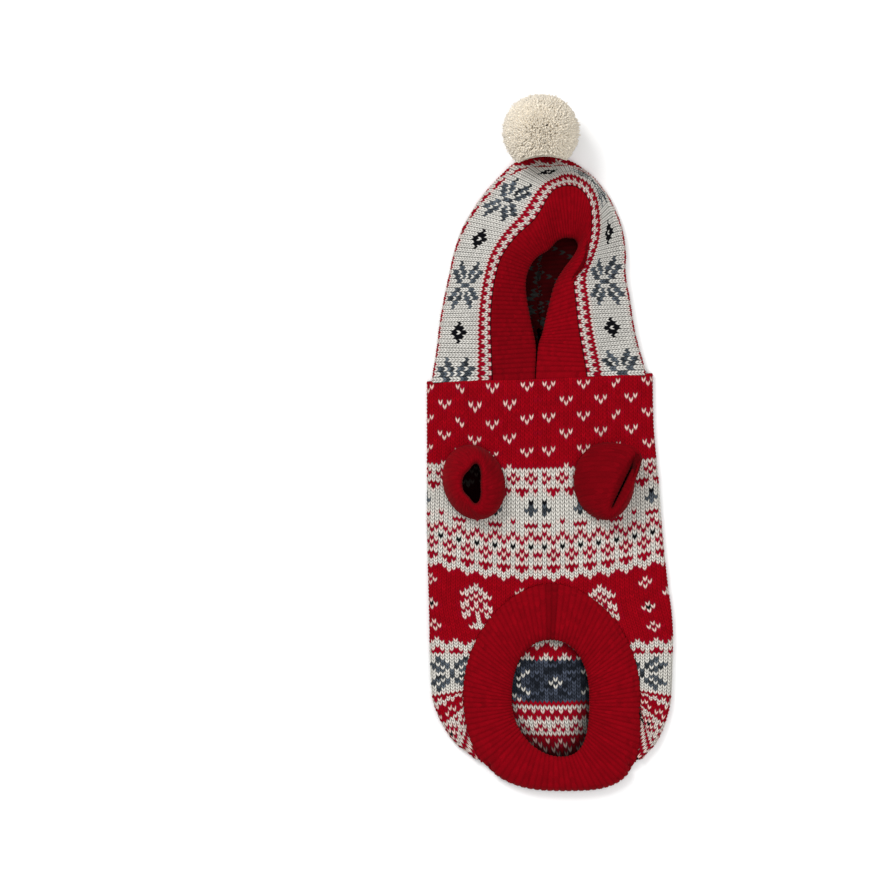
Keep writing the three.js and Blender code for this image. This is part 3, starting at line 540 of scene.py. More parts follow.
def hood_point(wale, course):
    """Outer face of the hood: courses count from the face seam over the side fold to the back seam."""
    station, seam, turn, back, out, radius, front, rear = hood_parts(wale)
    arc = np.maximum(course - SPREAD_COURSES[-1], 0) * REAR_COURSE
    first, begun = 0.0, 0.0
    for last, reached in zip(SPREAD_COURSES, hood_spread(station, front, radius)):
        arc = arc + (reached - begun) * np.clip((course - first) / (last - first), 0, 1)
        first, begun = last, reached
    arc = np.minimum(arc, front + math.pi * radius + rear + BACK_LAP)
    t = np.clip(arc / front, 0, 1)
    angle = np.clip((arc - front) / radius, 0, math.pi)
    under = np.maximum((arc - front - math.pi * radius) / rear, 0)
    place = np.where((under > 0)[:, None], mix(turn, back, under[:, None]), mix(seam, turn, t[:, None]))
    place = place + out * (radius * np.sin(angle))[:, None]
    x, y = place[:, 0], place[:, 1]
    z = mix(2 * radius, seam[:, 2], np.sin((1 - t) * math.pi / 2))
    z = z + (creases(HOOD_CREASES, x, y) + undulation(x, y)) * ease(t * 5) * ease((1 - t) * 5)
    z = z - HOOD_EDGE["sink"] * dies_away(arc, HOOD_EDGE["wide"])
    z = np.where(t < 1, z, radius * (1 + np.cos(angle)))
    bottom = np.maximum(0, creases(BACK_CREASES, x, y - HOOD_CREASE_RISE) + 0.4 * undulation(x, y))
    z = np.where(under > 0, bottom * ease(under * 6), z)
    y = y + neck_tilt(x) * (1 - ease((y - NECK_Y) / NECK_FADE))
    tucked = dies_away(np.minimum(wale, HOOD_WALES - wale), HOOD_TUCK["wide"])
    z = np.maximum(z - HOOD_TUCK["sink"] * tucked, HOOD_TUCK["least_z"] * (z > HOOD_TUCK["least_z"]))
    return np.stack([x, y - HOOD_TUCK["reach"] * tucked, z], -1)


def face_point(rib, course):
    """Outer face of the ribbed face band, from the right of the neck round to the left."""
    station = np.interp(rib / FACE_RIBS, *FACE_WAY)
    seam = hood_line(station)[0]
    step = 0.1
    ahead = hood_line(np.clip(station - step, 0, 2 * LAST))[0]
    behind = hood_line(np.clip(station + step, 0, 2 * LAST))[0]
    edge = np.stack([hood_value(station, "edge_" + axis) for axis in "xyz"], -1)
    along = (ahead - behind)[:, :2]
    along /= np.linalg.norm(along, axis=1)[:, None]
    over = (edge - seam)[:, :2]
    inward = over - along * np.sum(over * along, axis=1)[:, None]
    inward /= np.linalg.norm(inward, axis=1)[:, None]
    start = seam.copy()
    start[:, :2] += inward * FACE_SEAM["inward"]
    start[:, 2] -= FACE_SEAM["under"]
    t = course / FACE_COURSES
    flat = np.clip(t, 0, 1)
    place = mix(start, edge, flat[:, None])
    place[:, 2] += np.sin(flat * math.pi) * FACE_FORM["bulge"] * (start[:, 2] - edge[:, 2])
    place[:, 2] += FACE_FORM["welt"] * np.sin(np.clip(t * 3, 0, 1) * math.pi / 2)
    place[:, 2] -= FACE_FORM["lip"] * ease((t - FACE_FORM["lip_from"]) / (1 - FACE_FORM["lip_from"]))
    rolled = dies_away(station - ROLL["station"], ROLL["spread"]) * dies_away(t - ROLL["share"], ROLL["wide"])
    place[:, :2] -= inward * (ROLL["out"] * rolled)[:, None]
    place[:, 2] += ROLL["rise"] * rolled
    tucked = dies_away(np.minimum(rib, FACE_RIBS - rib), FACE_TUCK["wide"])
    place[:, 1] += neck_tilt(place[:, 0]) * (1 - ease((place[:, 1] - NECK_Y) / NECK_FADE))
    place[:, 1] -= FACE_TUCK["reach"] * tucked
    place[:, 2] -= FACE_TUCK["sink"] * tucked
    return place


def hem_point(rib, course):
    """Outer face of the hem band: from its seam on the belly and back hem, over its roll, to the opening."""
    angle = math.pi / 2 + 2 * math.pi * rib / HEM_RIBS
    outer_x, outer_y = oval_point(RING, angle)
    mouth_x, mouth_y = oval_point(MOUTH, angle)
    wrapped = ease((CORNER_Y - outer_y) / HEM_TURN)
    lowered = ease((CORNER_Y - outer_y) / HEM_CORNER)
    back_hem = CORNER_Y - hem_sag(0 * outer_y + CORNER_Y, outer_x) - HEM_SEAM["back_clear"]
    seam_y = np.where(outer_y > CORNER_Y, outer_y, back_hem)
    top = belly_height(outer_x, outer_y) - HEM_SEAM["belly_under"]
    lines = [np.stack([outer_x, seam_y, mix(top, HEM_SEAM["back_z"], lowered)], -1)]
    for belly_share, belly_z, hem_share, hem_z in zip(*HEM_WAY.values()):
        share = mix(belly_share, hem_share, wrapped)
        z = mix(belly_z, hem_z, wrapped)
        lines.append(np.stack([mix(outer_x, mouth_x, share), mix(outer_y, mouth_y, share), z], -1))
    points = between(np.stack(lines), course / HEM_COURSES * (len(lines) - 1))
    points[:, 2] += 0.5 * undulation(points[:, 0] * 2, points[:, 1] * 2)
    return points


def cuff_point(cuff):
    """Outer face of a leg cuff, from its foot to its rim, as a function of rib and course."""
    foot = belly_height(*np.array(cuff["base"], float)[:, None])

    def point(rib, course):
        angle = 2 * math.pi * rib / CUFF_RIBS
        place = course / CUFF_COURSES * (len(CUFF_WAY["rise"]) - 1)
        to_rim, rise, swell, shut = (between(column, place) for column in CUFF_WAY.values())
        turn = np.radians(mix(cuff["base_turn"], cuff["turn"], to_rim))
        swell = swell * (1 - cuff["pinch"] * np.cos(3 * angle) * ease(to_rim))
        half_u, half_v = (mix(*halves, to_rim) * swell for halves in zip(cuff["base_half"], cuff["rim_half"]))
        u = half_u * np.cos(angle) * (1 - cuff["shut"] * shut)
        v = half_v * np.sin(angle)
        x, y = (mix(*centres, to_rim) for centres in zip(cuff["base"], cuff["rim"]))
        x = x + u * np.cos(turn) - v * np.sin(turn)
        y = y + u * np.sin(turn) + v * np.cos(turn)
        return np.stack([x, y, foot + cuff["tall"] * rise], -1)

    return point


# ---------------------------------------------------------------- knitting
def add_object(name, data):
    thing = bpy.data.objects.new(name, data)
    bpy.context.scene.collection.objects.link(thing)
    return thing


# Heights across one stitch in the middle of its course and where two courses meet, from 0 to 1, which also
# set the painted shade in its grooves; how deep that is; how far the arms of its V slant, in courses; how far
# it is lifted;
# and how light the painted shade leaves its grooves.
KNIT = dict(
    ridge=(0.22, 1.0, 0.5, 1.0), valley=(0.0, 0.4, 0.05, 0.4), relief=0.9, slant=0.85, lift=0.0, dark=0.0)
RIB = dict(
    ridge=(0.25, 0.7, 1, 0.9, 1, 0.7), valley=(0.15, 0.6, 0.85, 0.75, 0.85, 0.6), relief=1.0, slant=0.6,
    lift=0.2, dark=0.45)
FELT = dict(
    ridge=(0.5, 0.85, 1, 0.95, 1, 0.85), valley=(0.4, 0.75, 0.9, 0.85, 0.9, 0.75), relief=0.6, slant=0.6,
    lift=0.2, dark=0.55)
FLOOR_CLEAR = 0.05
RIM_SHADE = 0.62  # how light the cut edges of the cloth are
INNER_BUMP = 0.5  # relief of the second face, where it shows its stitches
INNER_GROOVE_SHADE = 0.35  # painted shade: how light the grooves between the wales are painted, where it doesn't
# Painted shade in the grooves: yarn with less green than this is red and keeps part of its colour there;
# light yarn goes dark.
GROOVE_SHADE = dict(green=0.05, red_share=0.5)
THIN_FROM = 0.86  # share of a band after which it thins towards its free edge, to half
# The two faces of a piece lie side by side on its map, and each rim polygon is a dot on it.
UV_EDGE = 0.01
UV_WIDE = 0.48
UV_TALL = 0.98
UV_RIM = 0.0012


def knit(name, surface, wales, courses, outside, inside, stitch, *, wall, seed, start=(0, 0), keep=None,
         rows=3, inner=(2, 1), points_down=True, closed=False, thin_edge=False):
    """A closed shell of stitches. surface gives the outer face for wale and course; outside and inside give
    each stitch's colour; rows is how many lattice rows a course has; inner is the coarser lattice inside."""
    across = len(stitch["ridge"])
    start_wale, start_course = start
    column_count = across * wales + (0 if closed else 1)
    row_count = rows * courses + 1
    if keep is None:
        keep = np.full((wales, courses), True)

    def lattice(column, row, columns_per_wale, rows_per_course):
        """Wale and course of lattice points, with each course drawn down to a V in the middle of its wale."""
        wave = np.abs(2 * ((column % columns_per_wale) / columns_per_wale) - 1)
        edge = np.minimum(row, rows_per_course * courses - row) / rows_per_course
        bend = stitch["slant"] * (0.5 - wave) * np.clip(edge, 0, 1) * (1 if points_down else -1)
        return start_wale + column / columns_per_wale, start_course + row / rows_per_course + bend

    def normals(wale, course):
        step = 0.08
        along = surface(wale + step, course) - surface(wale - step, course)
        down = surface(wale, course + step) - surface(wale, course - step)
        normal = np.cross(along, down)
        size = np.linalg.norm(normal, axis=1)[:, None]
        return np.where(size > 1e-9, normal / np.maximum(size, 1e-9), (0.0, 0.0, 1.0))

    def face(columns_per_wale, rows_per_course, count):
        column, row = np.meshgrid(np.arange(count), np.arange(rows_per_course * courses + 1), indexing="ij")
        column, row = column.ravel(), row.ravel()
        wale, course = lattice(column, row, columns_per_wale, rows_per_course)
        return column, row, course, surface(wale, course), normals(wale, course)

    column, row, _, place, normal = face(across, rows, column_count)
    ridge, valley = np.array(stitch["ridge"]), np.array(stitch["valley"])
    height = np.where(row % rows == 0, valley[column % across], ridge[column % across])
    outer = place + normal * ((height - 1) * stitch["relief"] + stitch["lift"])[:, None]
    inner_columns = inner[0] * wales + (0 if closed else 1)
    in_column, in_row, in_course, in_place, in_normal = face(*inner, inner_columns)
    depth = np.full(len(in_row), wall)
    bump = np.where(in_column % 2 == 0, INNER_GROOVE_SHADE, 1.0)
    if inner[0] == across:
        bump = np.where(in_row % inner[1] == 0, valley[in_column % across], ridge[in_column % across])
        depth = depth - INNER_BUMP * (1 - bump)
    if thin_edge:
        share = (in_course - start_course) / courses
        depth = depth * (1 - 0.5 * ease((share - THIN_FROM) / (1 - THIN_FROM)))
    points = np.concatenate([outer, in_place - in_normal * depth[:, None]])
    points[:, 2] = np.maximum(points[:, 2], FLOOR_CLEAR)

    def out(k, m):
        return (k % column_count if closed else k) * row_count + m

    def inn(k, m):
        return len(outer) + (k % inner_columns if closed else k) * (inner[1] * courses + 1) + m

    i, j = np.nonzero(keep)

    def quads(index, columns_per_wale, rows_per_course, turned):
        k = columns_per_wale * i[:, None, None] + np.arange(columns_per_wale)[None, :, None]
        m = rows_per_course * j[:, None, None] + np.arange(rows_per_course)[None, None, :]
        corners = [index(k, m), index(k + 1, m), index(k + 1, m + 1), index(k, m + 1)]
        if turned:
            corners.reverse()
        grid = np.stack(np.broadcast_arrays(*corners), -1)
        return grid.reshape(-1, 4), np.repeat(np.arange(len(i)), columns_per_wale * rows_per_course)

    polygons = [quads(out, across, rows, False), quads(inn, *inner, True)]
    padded = np.pad(keep, 1)
    if closed:
        padded[0], padded[-1] = padded[-2], padded[1]
    steps_out, steps_in = np.arange(rows + 1), np.arange(inner[1] + 1)
    span_out, span_in = np.arange(across + 1), np.arange(inner[0] + 1)
    for step_i, step_j in ((-1, 0), (1, 0), (0, -1), (0, 1)):
        edge = np.nonzero(~padded[i + 1 + step_i, j + 1 + step_j])[0]
        a, b = i[edge][:, None], j[edge][:, None]
        if step_i:
            k = a + (step_i > 0)
            outer_side = out(across * k, rows * b + steps_out)
            inner_side = inn(inner[0] * k, inner[1] * b + steps_in)
        else:
            m = b + (step_j > 0)
            outer_side = out(across * a + span_out, rows * m)
            inner_side = inn(inner[0] * a + span_in, inner[1] * m)
        if step_i < 0 or step_j > 0:
            inner_side = inner_side[:, ::-1]
        else:
            outer_side = outer_side[:, ::-1]
        polygons.append((np.concatenate([outer_side, inner_side], axis=1), edge))

    rng = np.random.default_rng(seed)
    colours = [chart(start_wale + i, start_course + j, rng) for chart in (outside, inside)]
    # painted shade: the grooves between the yarns are darkened by the lattice heights
    shade = mix(stitch["dark"], 1, np.concatenate([height, bump]))
    uv = np.concatenate([
        np.stack([left + UV_WIDE * share_across, 1 - UV_EDGE - UV_TALL * share_down], -1)
        for left, share_across, share_down in (
            (UV_EDGE, column / (across * wales), row / (rows * courses)),
            (0.5 + UV_EDGE, in_column / (inner[0] * wales), in_row / (inner[1] * courses)),
        )
    ])
    return shell(name, points, polygons, colours, shade, uv, len(outer))


def shell(name, points, polygons, colours, shade, uv, outer_count):
    """Mesh object from lattice points and polygons, with the yarn's colour and its painted shade on every
    corner. The polygons are those of the outer face, of the inner face and of the rims, each with the stitch
    that it belongs to."""
    loops = np.concatenate([faces.ravel() for faces, _ in polygons])
    sizes = np.concatenate([np.full(len(faces), faces.shape[1]) for faces, _ in polygons])
    starts = np.concatenate([[0], np.cumsum(sizes)[:-1]])
    tints, places = [], []
    for n, (faces, owner) in enumerate(polygons):
        colour = colours[1 if n == 1 else 0][owner]
        dim = RIM_SHADE if n > 1 else 1.0
        # painted shade: corners deep in the grooves are darkened, red yarn less than light yarn
        light = np.clip(colour[:, 1] / GROOVE_SHADE["green"], 0, 1)
        contrast = mix(GROOVE_SHADE["red_share"], 1, light)[:, None, None]
        groove_shade = 1 - contrast * (1 - shade[faces][:, :, None])
        tints.append((colour[:, None, :] * groove_shade * dim).reshape(-1, 3))
        corner_uv = uv[faces].copy()
        if n < 2:
            wrap = corner_uv[:, :, 0] < corner_uv[:, :, 0].max(axis=1)[:, None] - UV_WIDE / 2
            corner_uv[:, :, 0] += wrap * UV_WIDE
        else:
            on_outer = faces < outer_count
            middle = (corner_uv * on_outer[:, :, None]).sum(axis=1) / on_outer.sum(axis=1)[:, None]
            spin = 2 * math.pi * np.arange(faces.shape[1]) / faces.shape[1]
            ring = np.stack([np.cos(spin), np.sin(spin)], -1) * UV_RIM
            corner_uv = np.clip(middle[:, None, :] + ring[None], 0.0, 1.0)
        places.append(corner_uv.reshape(-1, 2))
    used, loops = np.unique(loops, return_inverse=True)
    mesh = bpy.data.meshes.new(name)
    mesh.vertices.add(len(used))
    mesh.vertices.foreach_set("co", ((points[used] + TO_FRAME) * MM).ravel())
    mesh.loops.add(len(loops))
    mesh.loops.foreach_set("vertex_index", loops.ravel())
    mesh.polygons.add(len(sizes))
    mesh.polygons.foreach_set("loop_start", starts)
    smooth = [n < 2 for n in range(len(polygons))]
    mesh.polygons.foreach_set("use_smooth", np.repeat(smooth, [len(faces) for faces, _ in polygons]))
    mesh.update(calc_edges=True)
    mesh.uv_layers.new(name="OFBake").data.foreach_set("uv", np.concatenate(places).ravel())
    tint = np.concatenate(tints)
    rgba = np.concatenate([np.clip(tint, 0, 1), np.ones((len(tint), 1))], axis=1)
    mesh.color_attributes.new("yarn", "FLOAT_COLOR", "CORNER").data.foreach_set("color", rgba.ravel())
    if mesh.validate(verbose=False):
        raise RuntimeError(f"{name}: the mesh had faults")
    return add_object(name, mesh)


def yarn_material(name, nap, fibre):
    """Dull yarn: its colour is on the mesh, with a fine mottle, and its fibres are a small bump."""
    material = bpy.data.materials.new(name)
    material.use_nodes = True
    nodes, links = material.node_tree.nodes, material.node_tree.links

    def add(kind, **values):
        node = nodes.new("ShaderNode" + kind)
        for socket, value in values.items():
            node.inputs[socket.replace("_", " ")].default_value = value
        return node

    shader = nodes["Principled BSDF"]
    for socket, value in (
        ("Roughness", 0.92), ("Specular IOR Level", 0.04), ("Sheen Weight", nap), ("Sheen Roughness", 0.45),
    ):
        shader.inputs[socket].default_value = value
    colour = add("Attribute")
    colour.attribute_name = "yarn"
    place = add("TexCoord")
    mottle = add("TexNoise", Scale=900, Detail=3)
    spread = add("MapRange", To_Min=0.78, To_Max=1.16)
    mottled = add("Mix")
    mottled.data_type = "RGBA"
    mottled.blend_type = "MULTIPLY"
    mottled.inputs["Factor"].default_value = 1
    hair = add("TexNoise", Scale=fibre, Detail=2)
    bump = add("Bump", Strength=0.5, Distance=0.0003)
    for source, output, target, socket in (
        (place, "Object", mottle, "Vector"), (place, "Object", hair, "Vector"),
        (mottle, "Fac", spread, "Value"), (colour, "Color", mottled, "A"), (spread, "Result", mottled, "B"),
        (mottled, "Result", shader, "Base Color"), (hair, "Fac", bump, "Height"),
        (bump, "Normal", shader, "Normal"),
    ):
        links.new(source.outputs[output], target.inputs[socket])
    return material


def finish_piece(piece, nodes, nap=0.015, fibre=2400):
    """Gives a piece its yarn, and puts it on the garment's body in place of its solids."""
    piece.data.materials.append(yarn_material(piece.name + "_yarn", nap, fibre))
    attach(piece, "root")
    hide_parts(*nodes)
    return piece


def palette(context):
    """The yarns in the order of the charts, as linear light."""
    colours = context.scene.hoodie_colours
    return np.array([colours.crimson, colours.cream, colours.grey, colours.black, colours.navy])


# How much the stitches of each yarn differ among themselves, most in the tweeds, and the least and the most.
UNEVEN = np.array([0.07, 0.05, 0.4, 0.12, 0.75])
UNEVEN_LIMITS = (0.25, 2.0)
# How the colours change side by side: cream takes a blush from red, and red looks paler beside cream.
BLUSH = np.array([1.10, 0.74, 0.72])
SOFTEN = np.array([0.95, 2.0, 3.0])


def uneven(colours, signs, rng):
    """Yarn colours with the small differences from stitch to stitch."""
    spread = rng.normal(0, 1, len(signs)) * UNEVEN[signs]
    return colours[signs] * np.clip(1 + spread, *UNEVEN_LIMITS)[:, None]


def charted(yarns, chart, wale, row, rng):
    """Yarn colours of a chart at each stitch, with the blush of red and cream side by side."""
    signs = chart(wale, row)
    colours = uneven(yarns, signs, rng)
    beside = [chart(wale + i, row + j) for i, j in ((-1, 0), (1, 0), (0, -1), (0, 1))]
    for own, other, change in ((CREAM, RED, BLUSH), (RED, CREAM, SOFTEN)):
        share = np.where(signs == own, np.mean([near == other for near in beside], axis=0), 0.0)[:, None]
        colours = colours * (1 + share * (change - 1))
    return colours


RIB_SHADE = 0.72  # how light crimson looks where it is ribbed, and inside the bands
RIB_SHADE_INSIDE = 0.3
HEM_SEAM_SHADE = 0.75  # the ribs beside the hem band's own seam are darker
FACE_SHADE = dict(deep=0.2, rib=52, over=24)  # from this rib on the face band lies deeper in shade


def plain(colours, shade):
    """A chart of crimson alone."""
    return lambda wale, row, rng: uneven(colours, np.full(len(wale), RED), rng) * shade


# ---------------------------------------------------------------- panel of sizes and colours
def yarn_colour(name, default):
    return bpy.props.FloatVectorProperty(
        name=name, description=f"{name} yarn, as linear light", default=default, subtype="COLOR",
        min=0, max=1, size=3)


def measure(name, description, default, least, most):
    return bpy.props.FloatProperty(
        name=name, description=description, default=default, min=least, max=most, unit="LENGTH")


class HoodieColours(bpy.types.PropertyGroup):
    crimson: yarn_colour("Crimson", (0.30, 0.0006, 0.006))
    cream: yarn_colour("Cream", (0.84, 0.81, 0.74))
    grey: yarn_colour("Tweed grey", (0.085, 0.102, 0.122))
    black: yarn_colour("Black", (0.004, 0.004, 0.006))
    navy: yarn_colour("Navy tweed", (0.05, 0.06, 0.085))
    tuft: yarn_colour("Pompom", (0.86, 0.78, 0.65))


class HoodieSizes(bpy.types.PropertyGroup):
    wall: measure("Cloth", "Thickness of the patterned knit", 0.0019, 0.001, 0.003)
    rib_wall: measure("Ribbing", "Thickness of the ribbing", 0.0026, 0.001, 0.004)
    camera_height: measure("Camera height", "Height of the camera over the floor", 3.0, 0.5, 15.0)
    view_width: measure("View", "Width of floor that the camera sees", 0.7429, 0.1, 5.0)
    strands: bpy.props.IntProperty(
        name="Pompom strands", description="Cut ends of yarn in the pompom",
        default=12500, min=500, max=14000)


# ---------------------------------------------------------------- stage and pieces
FLOOR_HALF = 3.0  # the stage is in metres
SKY_LIGHT = 0.55
CAMERA_OVER = (-0.0959, 0.0060)  # the place it looks down on
# Name, place, size and power of each light; all look at the garment's middle.
LIGHTS = (
    ("key", (-0.9, 1.1, 1.5), 0.8, 24), ("fill", (1.2, -0.5, 1.6), 1.6, 10), ("top", (0, 0, 2.4), 1.5, 14),
)


class HOODIE_OT_stage(bpy.types.Operator):
    """Pale floor, soft studio light and a camera that looks straight down"""
    bl_idname = "hoodie.stage"
    bl_label = "Stage"

    def execute(self, context):
        sizes = context.scene.hoodie_sizes
        floor_mesh = bpy.data.meshes.new("floor")
        corners = [(x * FLOOR_HALF, y * FLOOR_HALF, 0) for x, y in ((-1, -1), (1, -1), (1, 1), (-1, 1))]
        floor_mesh.from_pydata(corners, [], [(0, 1, 2, 3)])
        paper = bpy.data.materials.new("pale_floor")
        paper.use_nodes = True
        shader = paper.node_tree.nodes["Principled BSDF"]
        shader.inputs["Base Color"].default_value = (0.93, 0.93, 0.93, 1)
        shader.inputs["Roughness"].default_value = 0.9
        floor_mesh.materials.append(paper)
        add_object("floor", floor_mesh)
        world = bpy.data.worlds.new("studio")
        world.use_nodes = True
        background = world.node_tree.nodes["Background"]
        background.inputs["Color"].default_value = (1, 1, 1, 1)
        background.inputs["Strength"].default_value = SKY_LIGHT
        context.scene.world = world
        for name, place, size, power in LIGHTS:
            lamp = bpy.data.lights.new(name, "AREA")
            lamp.energy = power
            lamp.size = size
            light = add_object(name, lamp)
            light.location = place
            light.rotation_euler = (-light.location).to_track_quat("-Z", "Y").to_euler()
        lens = bpy.data.cameras.new("camera")
        lens.sensor_width = 36
        lens.lens = lens.sensor_width * sizes.camera_height / sizes.view_width
        lens.clip_end = 20
        camera = add_object("camera", lens)
        camera.location = (*CAMERA_OVER, sizes.camera_height)
        context.scene.camera = camera
        context.scene.view_settings.view_transform = "Standard"
        return {"FINISHED"}


class HOODIE_OT_body(bpy.types.Operator):
    """Patterned body tube: the belly piece with both side folds, and the back piece under it"""
    bl_idname = "hoodie.body"
    bl_label = "Body"

    def execute(self, context):
        wall = context.scene.hoodie_sizes.wall / MM
        yarns = palette(context)
        seam = BODY_WALES // 2

        def own_wale(wale):
            """Wales past the belly seam count back from the back's middle, below zero."""
            return np.where(wale > seam, wale - BODY_WALES, wale)

        def outside(wale, course, rng):
            own = own_wale(wale)
            pieced = (np.abs(own) > LEG_SEAM_WALE) & (course < LEG_SEAM_COURSES)
            colours = charted(yarns, outside_chart, own + pieced * np.sign(own), course, rng)
            colours[(own == seam) & (course >= LEG_SEAM_COURSES) & (course < TRELLIS_TOP)] = yarns[CREAM]
            return colours

        def inside(wale, course, rng):
            light = inner_light(body_point(wale + 0.5, course + 0.5))
            return charted(yarns, inside_chart, own_wale(wale), course, rng) * light[:, None]

        belly_wales = BODY_WALES - 2 * SPLIT_WALE
        wale, course = np.indices((belly_wales, BODY_COURSES)) + 0.5
        x, y, z = body_point(SPLIT_WALE + wale.ravel(), course.ravel()).T
        cut = (ring_gap(x, y) < RING_CUT) | (cuff_reach(x, y) < LEG_CUT)
        keep = ~(cut & (z > 2 * FOLD_RADIUS - CUT_DEPTH)).reshape(wale.shape)
        seam_row = belly_wales // 2
        for half in (slice(0, seam_row + 1), slice(None, seam_row - 1, -1)):
            # below the ring's top, a row that has reached the ring ends there
            keep[half, RING_TOP_COURSE:] = np.minimum.accumulate(keep[half, RING_TOP_COURSE:], axis=0)
        belly = knit("belly_knit", body_point, belly_wales, BODY_COURSES, outside, inside, KNIT,
                     start=(SPLIT_WALE, 0), keep=keep, wall=wall, seed=3)
        finish_piece(belly, ["body_panel"])
        back = knit("back_knit", body_point, 2 * SPLIT_WALE, BODY_COURSES, outside, inside, KNIT,
                    start=(-SPLIT_WALE, 0), rows=2, inner=(4, 2), wall=wall, seed=4)
        finish_piece(back, ["body_panel"])
        return {"FINISHED"}


class HOODIE_OT_hood(bpy.types.Operator):
    """Patterned hood, its courses parallel to the face opening"""
    bl_idname = "hoodie.hood"
    bl_label = "Hood"

    def execute(self, context):
        wall = context.scene.hoodie_sizes.wall / MM
        yarns = palette(context)
        # painted shade on the hood's cream
        yarns[CREAM] *= HOOD_CREAM_SHADE
        unlit = yarns * HOOD_INSIDE
        unlit[CREAM] *= HOOD_INSIDE_CREAM

        def shifted_chart(wale, row):
            return outside_chart(wale, row, *HOOD_SHIFTS)

        def outside(wale, course, rng):
            return charted(yarns, shifted_chart, wale, HOOD_FIRST_ROW - course, rng)

        def inside(wale, course, rng):
            return uneven(unlit, inside_chart(wale, HOOD_FIRST_ROW - course, *HOOD_SHIFTS), rng)

        reach = hood_reach(np.arange(HOOD_WALES) + 0.5)
        keep = np.arange(HOOD_COURSES) < reach[:, None] + SEAM_COURSE
        hood = knit("hood_knit", hood_point, HOOD_WALES, HOOD_COURSES, outside, inside, KNIT, keep=keep,
                    wall=wall, points_down=False, seed=5)
        finish_piece(hood, ["hood_panel"])
        return {"FINISHED"}


class HOODIE_OT_ribbing(bpy.types.Operator):
    """Crimson ribbing: the face band, the hem ring and the two leg cuffs"""
    bl_idname = "hoodie.ribbing"
    bl_label = "Ribbing"

    def execute(self, context):
        wall = context.scene.hoodie_sizes.rib_wall / MM
        yarns = palette(context)
        crimson = plain(yarns, RIB_SHADE)
        shaded = plain(yarns, RIB_SHADE_INSIDE)

        def in_shade(rib, course, rng):
            shade = FACE_SHADE["deep"] * ease((rib - FACE_SHADE["rib"]) / FACE_SHADE["over"])
            return crimson(rib, course, rng) * (1 - shade)[:, None]

        def ring_seam(rib, course, rng):
            at_seam = (rib == 0) | (rib == HEM_RIBS - 1)
            return crimson(rib, course, rng) * np.where(at_seam, HEM_SEAM_SHADE, 1.0)[:, None]

        face = knit("face_ribbing", face_point, FACE_RIBS, FACE_COURSES, in_shade, shaded, RIB, rows=2,
                    wall=wall, thin_edge=True, seed=6)
        finish_piece(face, ["face_rib_band"])
        hem = knit("hem_ribbing", hem_point, HEM_RIBS, HEM_COURSES, ring_seam, shaded, RIB, rows=2,
                   wall=wall, closed=True, thin_edge=True, seed=7)
        finish_piece(hem, ["hem_rib_band"])
        for name, cuff in CUFFS.items():
            # painted shade: each cuff's crimson is darkened by its own shade share
            cuff_in_shade = plain(yarns, cuff["shade"])
            piece = knit(name + "_ribbing", cuff_point(cuff), CUFF_RIBS, CUFF_COURSES, cuff_in_shade, shaded, FELT,
                         rows=2, wall=wall, closed=True, thin_edge=True, seed=8)
            finish_piece(piece, [name])
        return {"FINISHED"}


# How the pompom's strands scatter; their length as a share of its radius, with lumps and uneven cuts.
TUFT = dict(scatter=0.05, length=0.955, lumps=0.03, uneven=0.024, shade=0.06, floor_clear=0.2)
# Three levels of a strand: share of its length, thickness, shade and how far it bends.
STRAND_LEVELS = ((0.74, 1.5, 0.76, 0.0), (0.88, 0.95, 0.90, 0.4), (1.0, 0.58, 1.0, 1.1))
STRAND_POINTS = 9  # three at each level
CROSSWISE = (0.31, 0.52, 0.79)  # each strand's sides lie across this direction


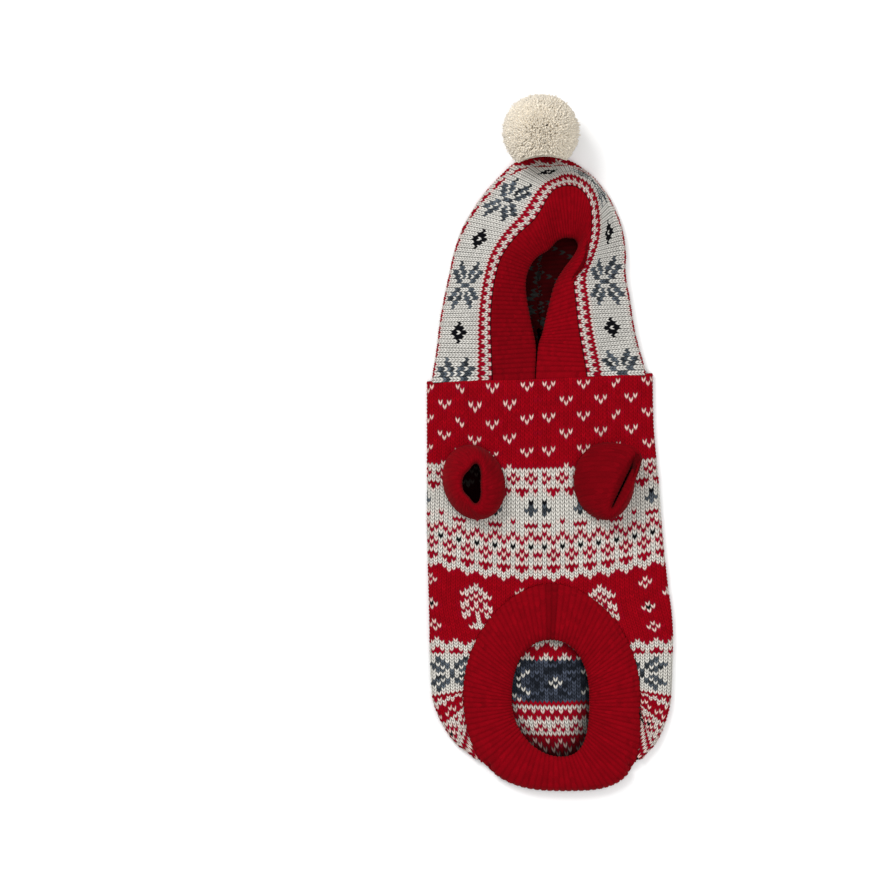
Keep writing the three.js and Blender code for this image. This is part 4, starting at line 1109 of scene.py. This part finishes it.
class HOODIE_OT_pompom(bpy.types.Operator):
    """Cream pompom of cut yarn ends, trimmed to a ball"""
    bl_idname = "hoodie.pompom"
    bl_label = "Pompom"

    def execute(self, context):
        count = context.scene.hoodie_sizes.strands
        rng = np.random.default_rng(11)
        low, high = POMPOM_LOW / MM, POMPOM_HIGH / MM
        centre, radius = (low + high) / 2, (high - low).min() / 2
        # the strands spread evenly over a ball, each a little out of its place
        n = np.arange(count)
        z = 1 - 2 * (n + 0.5) / count
        spin = n * math.pi * (3 - math.sqrt(5))
        flat = np.sqrt(1 - z * z)
        way = np.stack([flat * np.cos(spin), flat * np.sin(spin), z], -1)
        way += rng.normal(0, TUFT["scatter"], way.shape)
        way /= np.linalg.norm(way, axis=1)[:, None]
        lean = rng.normal(0, 1, way.shape)
        lean -= way * np.sum(lean * way, axis=1)[:, None]
        lumps = np.sin(5 * way[:, 0] + 2) * np.sin(4 * way[:, 1] + 1) * np.sin(5 * way[:, 2])
        length = radius * (TUFT["length"] + TUFT["lumps"] * lumps + rng.normal(0, TUFT["uneven"], count))
        side = np.cross(way, CROSSWISE)
        side /= np.linalg.norm(side, axis=1)[:, None]
        other = np.cross(way, side)
        points, shades = [], []
        for reach, thick, shade, bend in STRAND_LEVELS:
            middle = centre + way * (length * reach)[:, None] + lean * bend
            for turn in np.arange(3) * 2 * math.pi / 3:
                points.append(middle + (side * math.cos(turn) + other * math.sin(turn)) * thick)
                shades.append(np.full(count, shade))
        points = np.stack(points, 1)
        shades = np.stack(shades, 1) * rng.normal(1, TUFT["shade"], count)[:, None]
        points[:, :, 2] = np.maximum(points[:, :, 2], TUFT["floor_clear"])
        points -= TO_FRAME
        x, y, z = np.moveaxis(points, -1, 0)
        crown = CROWN["y"] - ((x - CROWN["x"]) / CROWN["bend"]) ** 2 - CROWN["lean"] * z
        points[:, :, 1] += np.maximum(crown - y, 0) * CROWN["press"]
        # walls from level to level, and two ends
        ring = np.arange(3)
        wall = np.stack([ring, (ring + 1) % 3, (ring + 1) % 3 + 3, ring + 3], -1)
        quads, tips, roots = (
            (STRAND_POINTS * n[:, None, None] + np.array(faces)[None]).reshape(-1, len(faces[0]))
            for faces in (np.concatenate([wall, wall + 3]), [[6, 7, 8]], [[2, 1, 0]])
        )
        owner = np.repeat(n, 6)
        # every strand has its own cell of the map
        grid = math.ceil(math.sqrt(count))
        cell = np.stack([n % grid, n // grid], -1) / grid
        corner = np.array([[k % 3, k // 3] for k in range(STRAND_POINTS)]) / 3.2 / grid + 0.1 / grid
        uv = (cell[:, None, :] + corner[None]).reshape(-1, 2)
        colour = np.tile(tuple(context.scene.hoodie_colours.tuft), (count, 1))
        polygons = [(quads, owner), (quads[:0], owner[:0]), (tips, n), (roots, n)]
        piece = shell("pompom_tuft", points.reshape(-1, 3), polygons, (colour, colour), shades.ravel(), uv,
                      len(uv))
        finish_piece(piece, ["pompom"], nap=0.35)
        return {"FINISHED"}


OPERATORS = (HOODIE_OT_stage, HOODIE_OT_body, HOODIE_OT_hood, HOODIE_OT_ribbing, HOODIE_OT_pompom)


class HOODIE_PT_panel(bpy.types.Panel):
    """Lists the garment's sizes, colours and pieces"""
    bl_idname = "HOODIE_PT_panel"
    bl_label = "Knit dog hoodie"
    bl_space_type = "VIEW_3D"
    bl_region_type = "UI"
    bl_category = "Hoodie"

    def draw(self, context):
        for group in (context.scene.hoodie_sizes, context.scene.hoodie_colours):
            for name in group.bl_rna.properties.keys():
                if name not in ("rna_type", "name"):
                    self.layout.prop(group, name)
        for operator in OPERATORS:
            self.layout.operator(operator.bl_idname)


CLASSES = (HoodieColours, HoodieSizes, *OPERATORS, HOODIE_PT_panel)


def register():
    for cls in CLASSES:
        bpy.utils.register_class(cls)
    bpy.types.Scene.hoodie_colours = bpy.props.PointerProperty(type=HoodieColours)
    bpy.types.Scene.hoodie_sizes = bpy.props.PointerProperty(type=HoodieSizes)


def unregister():
    del bpy.types.Scene.hoodie_sizes
    del bpy.types.Scene.hoodie_colours
    for cls in reversed(CLASSES):
        bpy.utils.unregister_class(cls)


def main():
    register()
    bpy.ops.hoodie.stage()
    bpy.ops.hoodie.body()
    bpy.ops.hoodie.hood()
    bpy.ops.hoodie.ribbing()
    bpy.ops.hoodie.pompom()


if __name__ == "__main__":
    main()
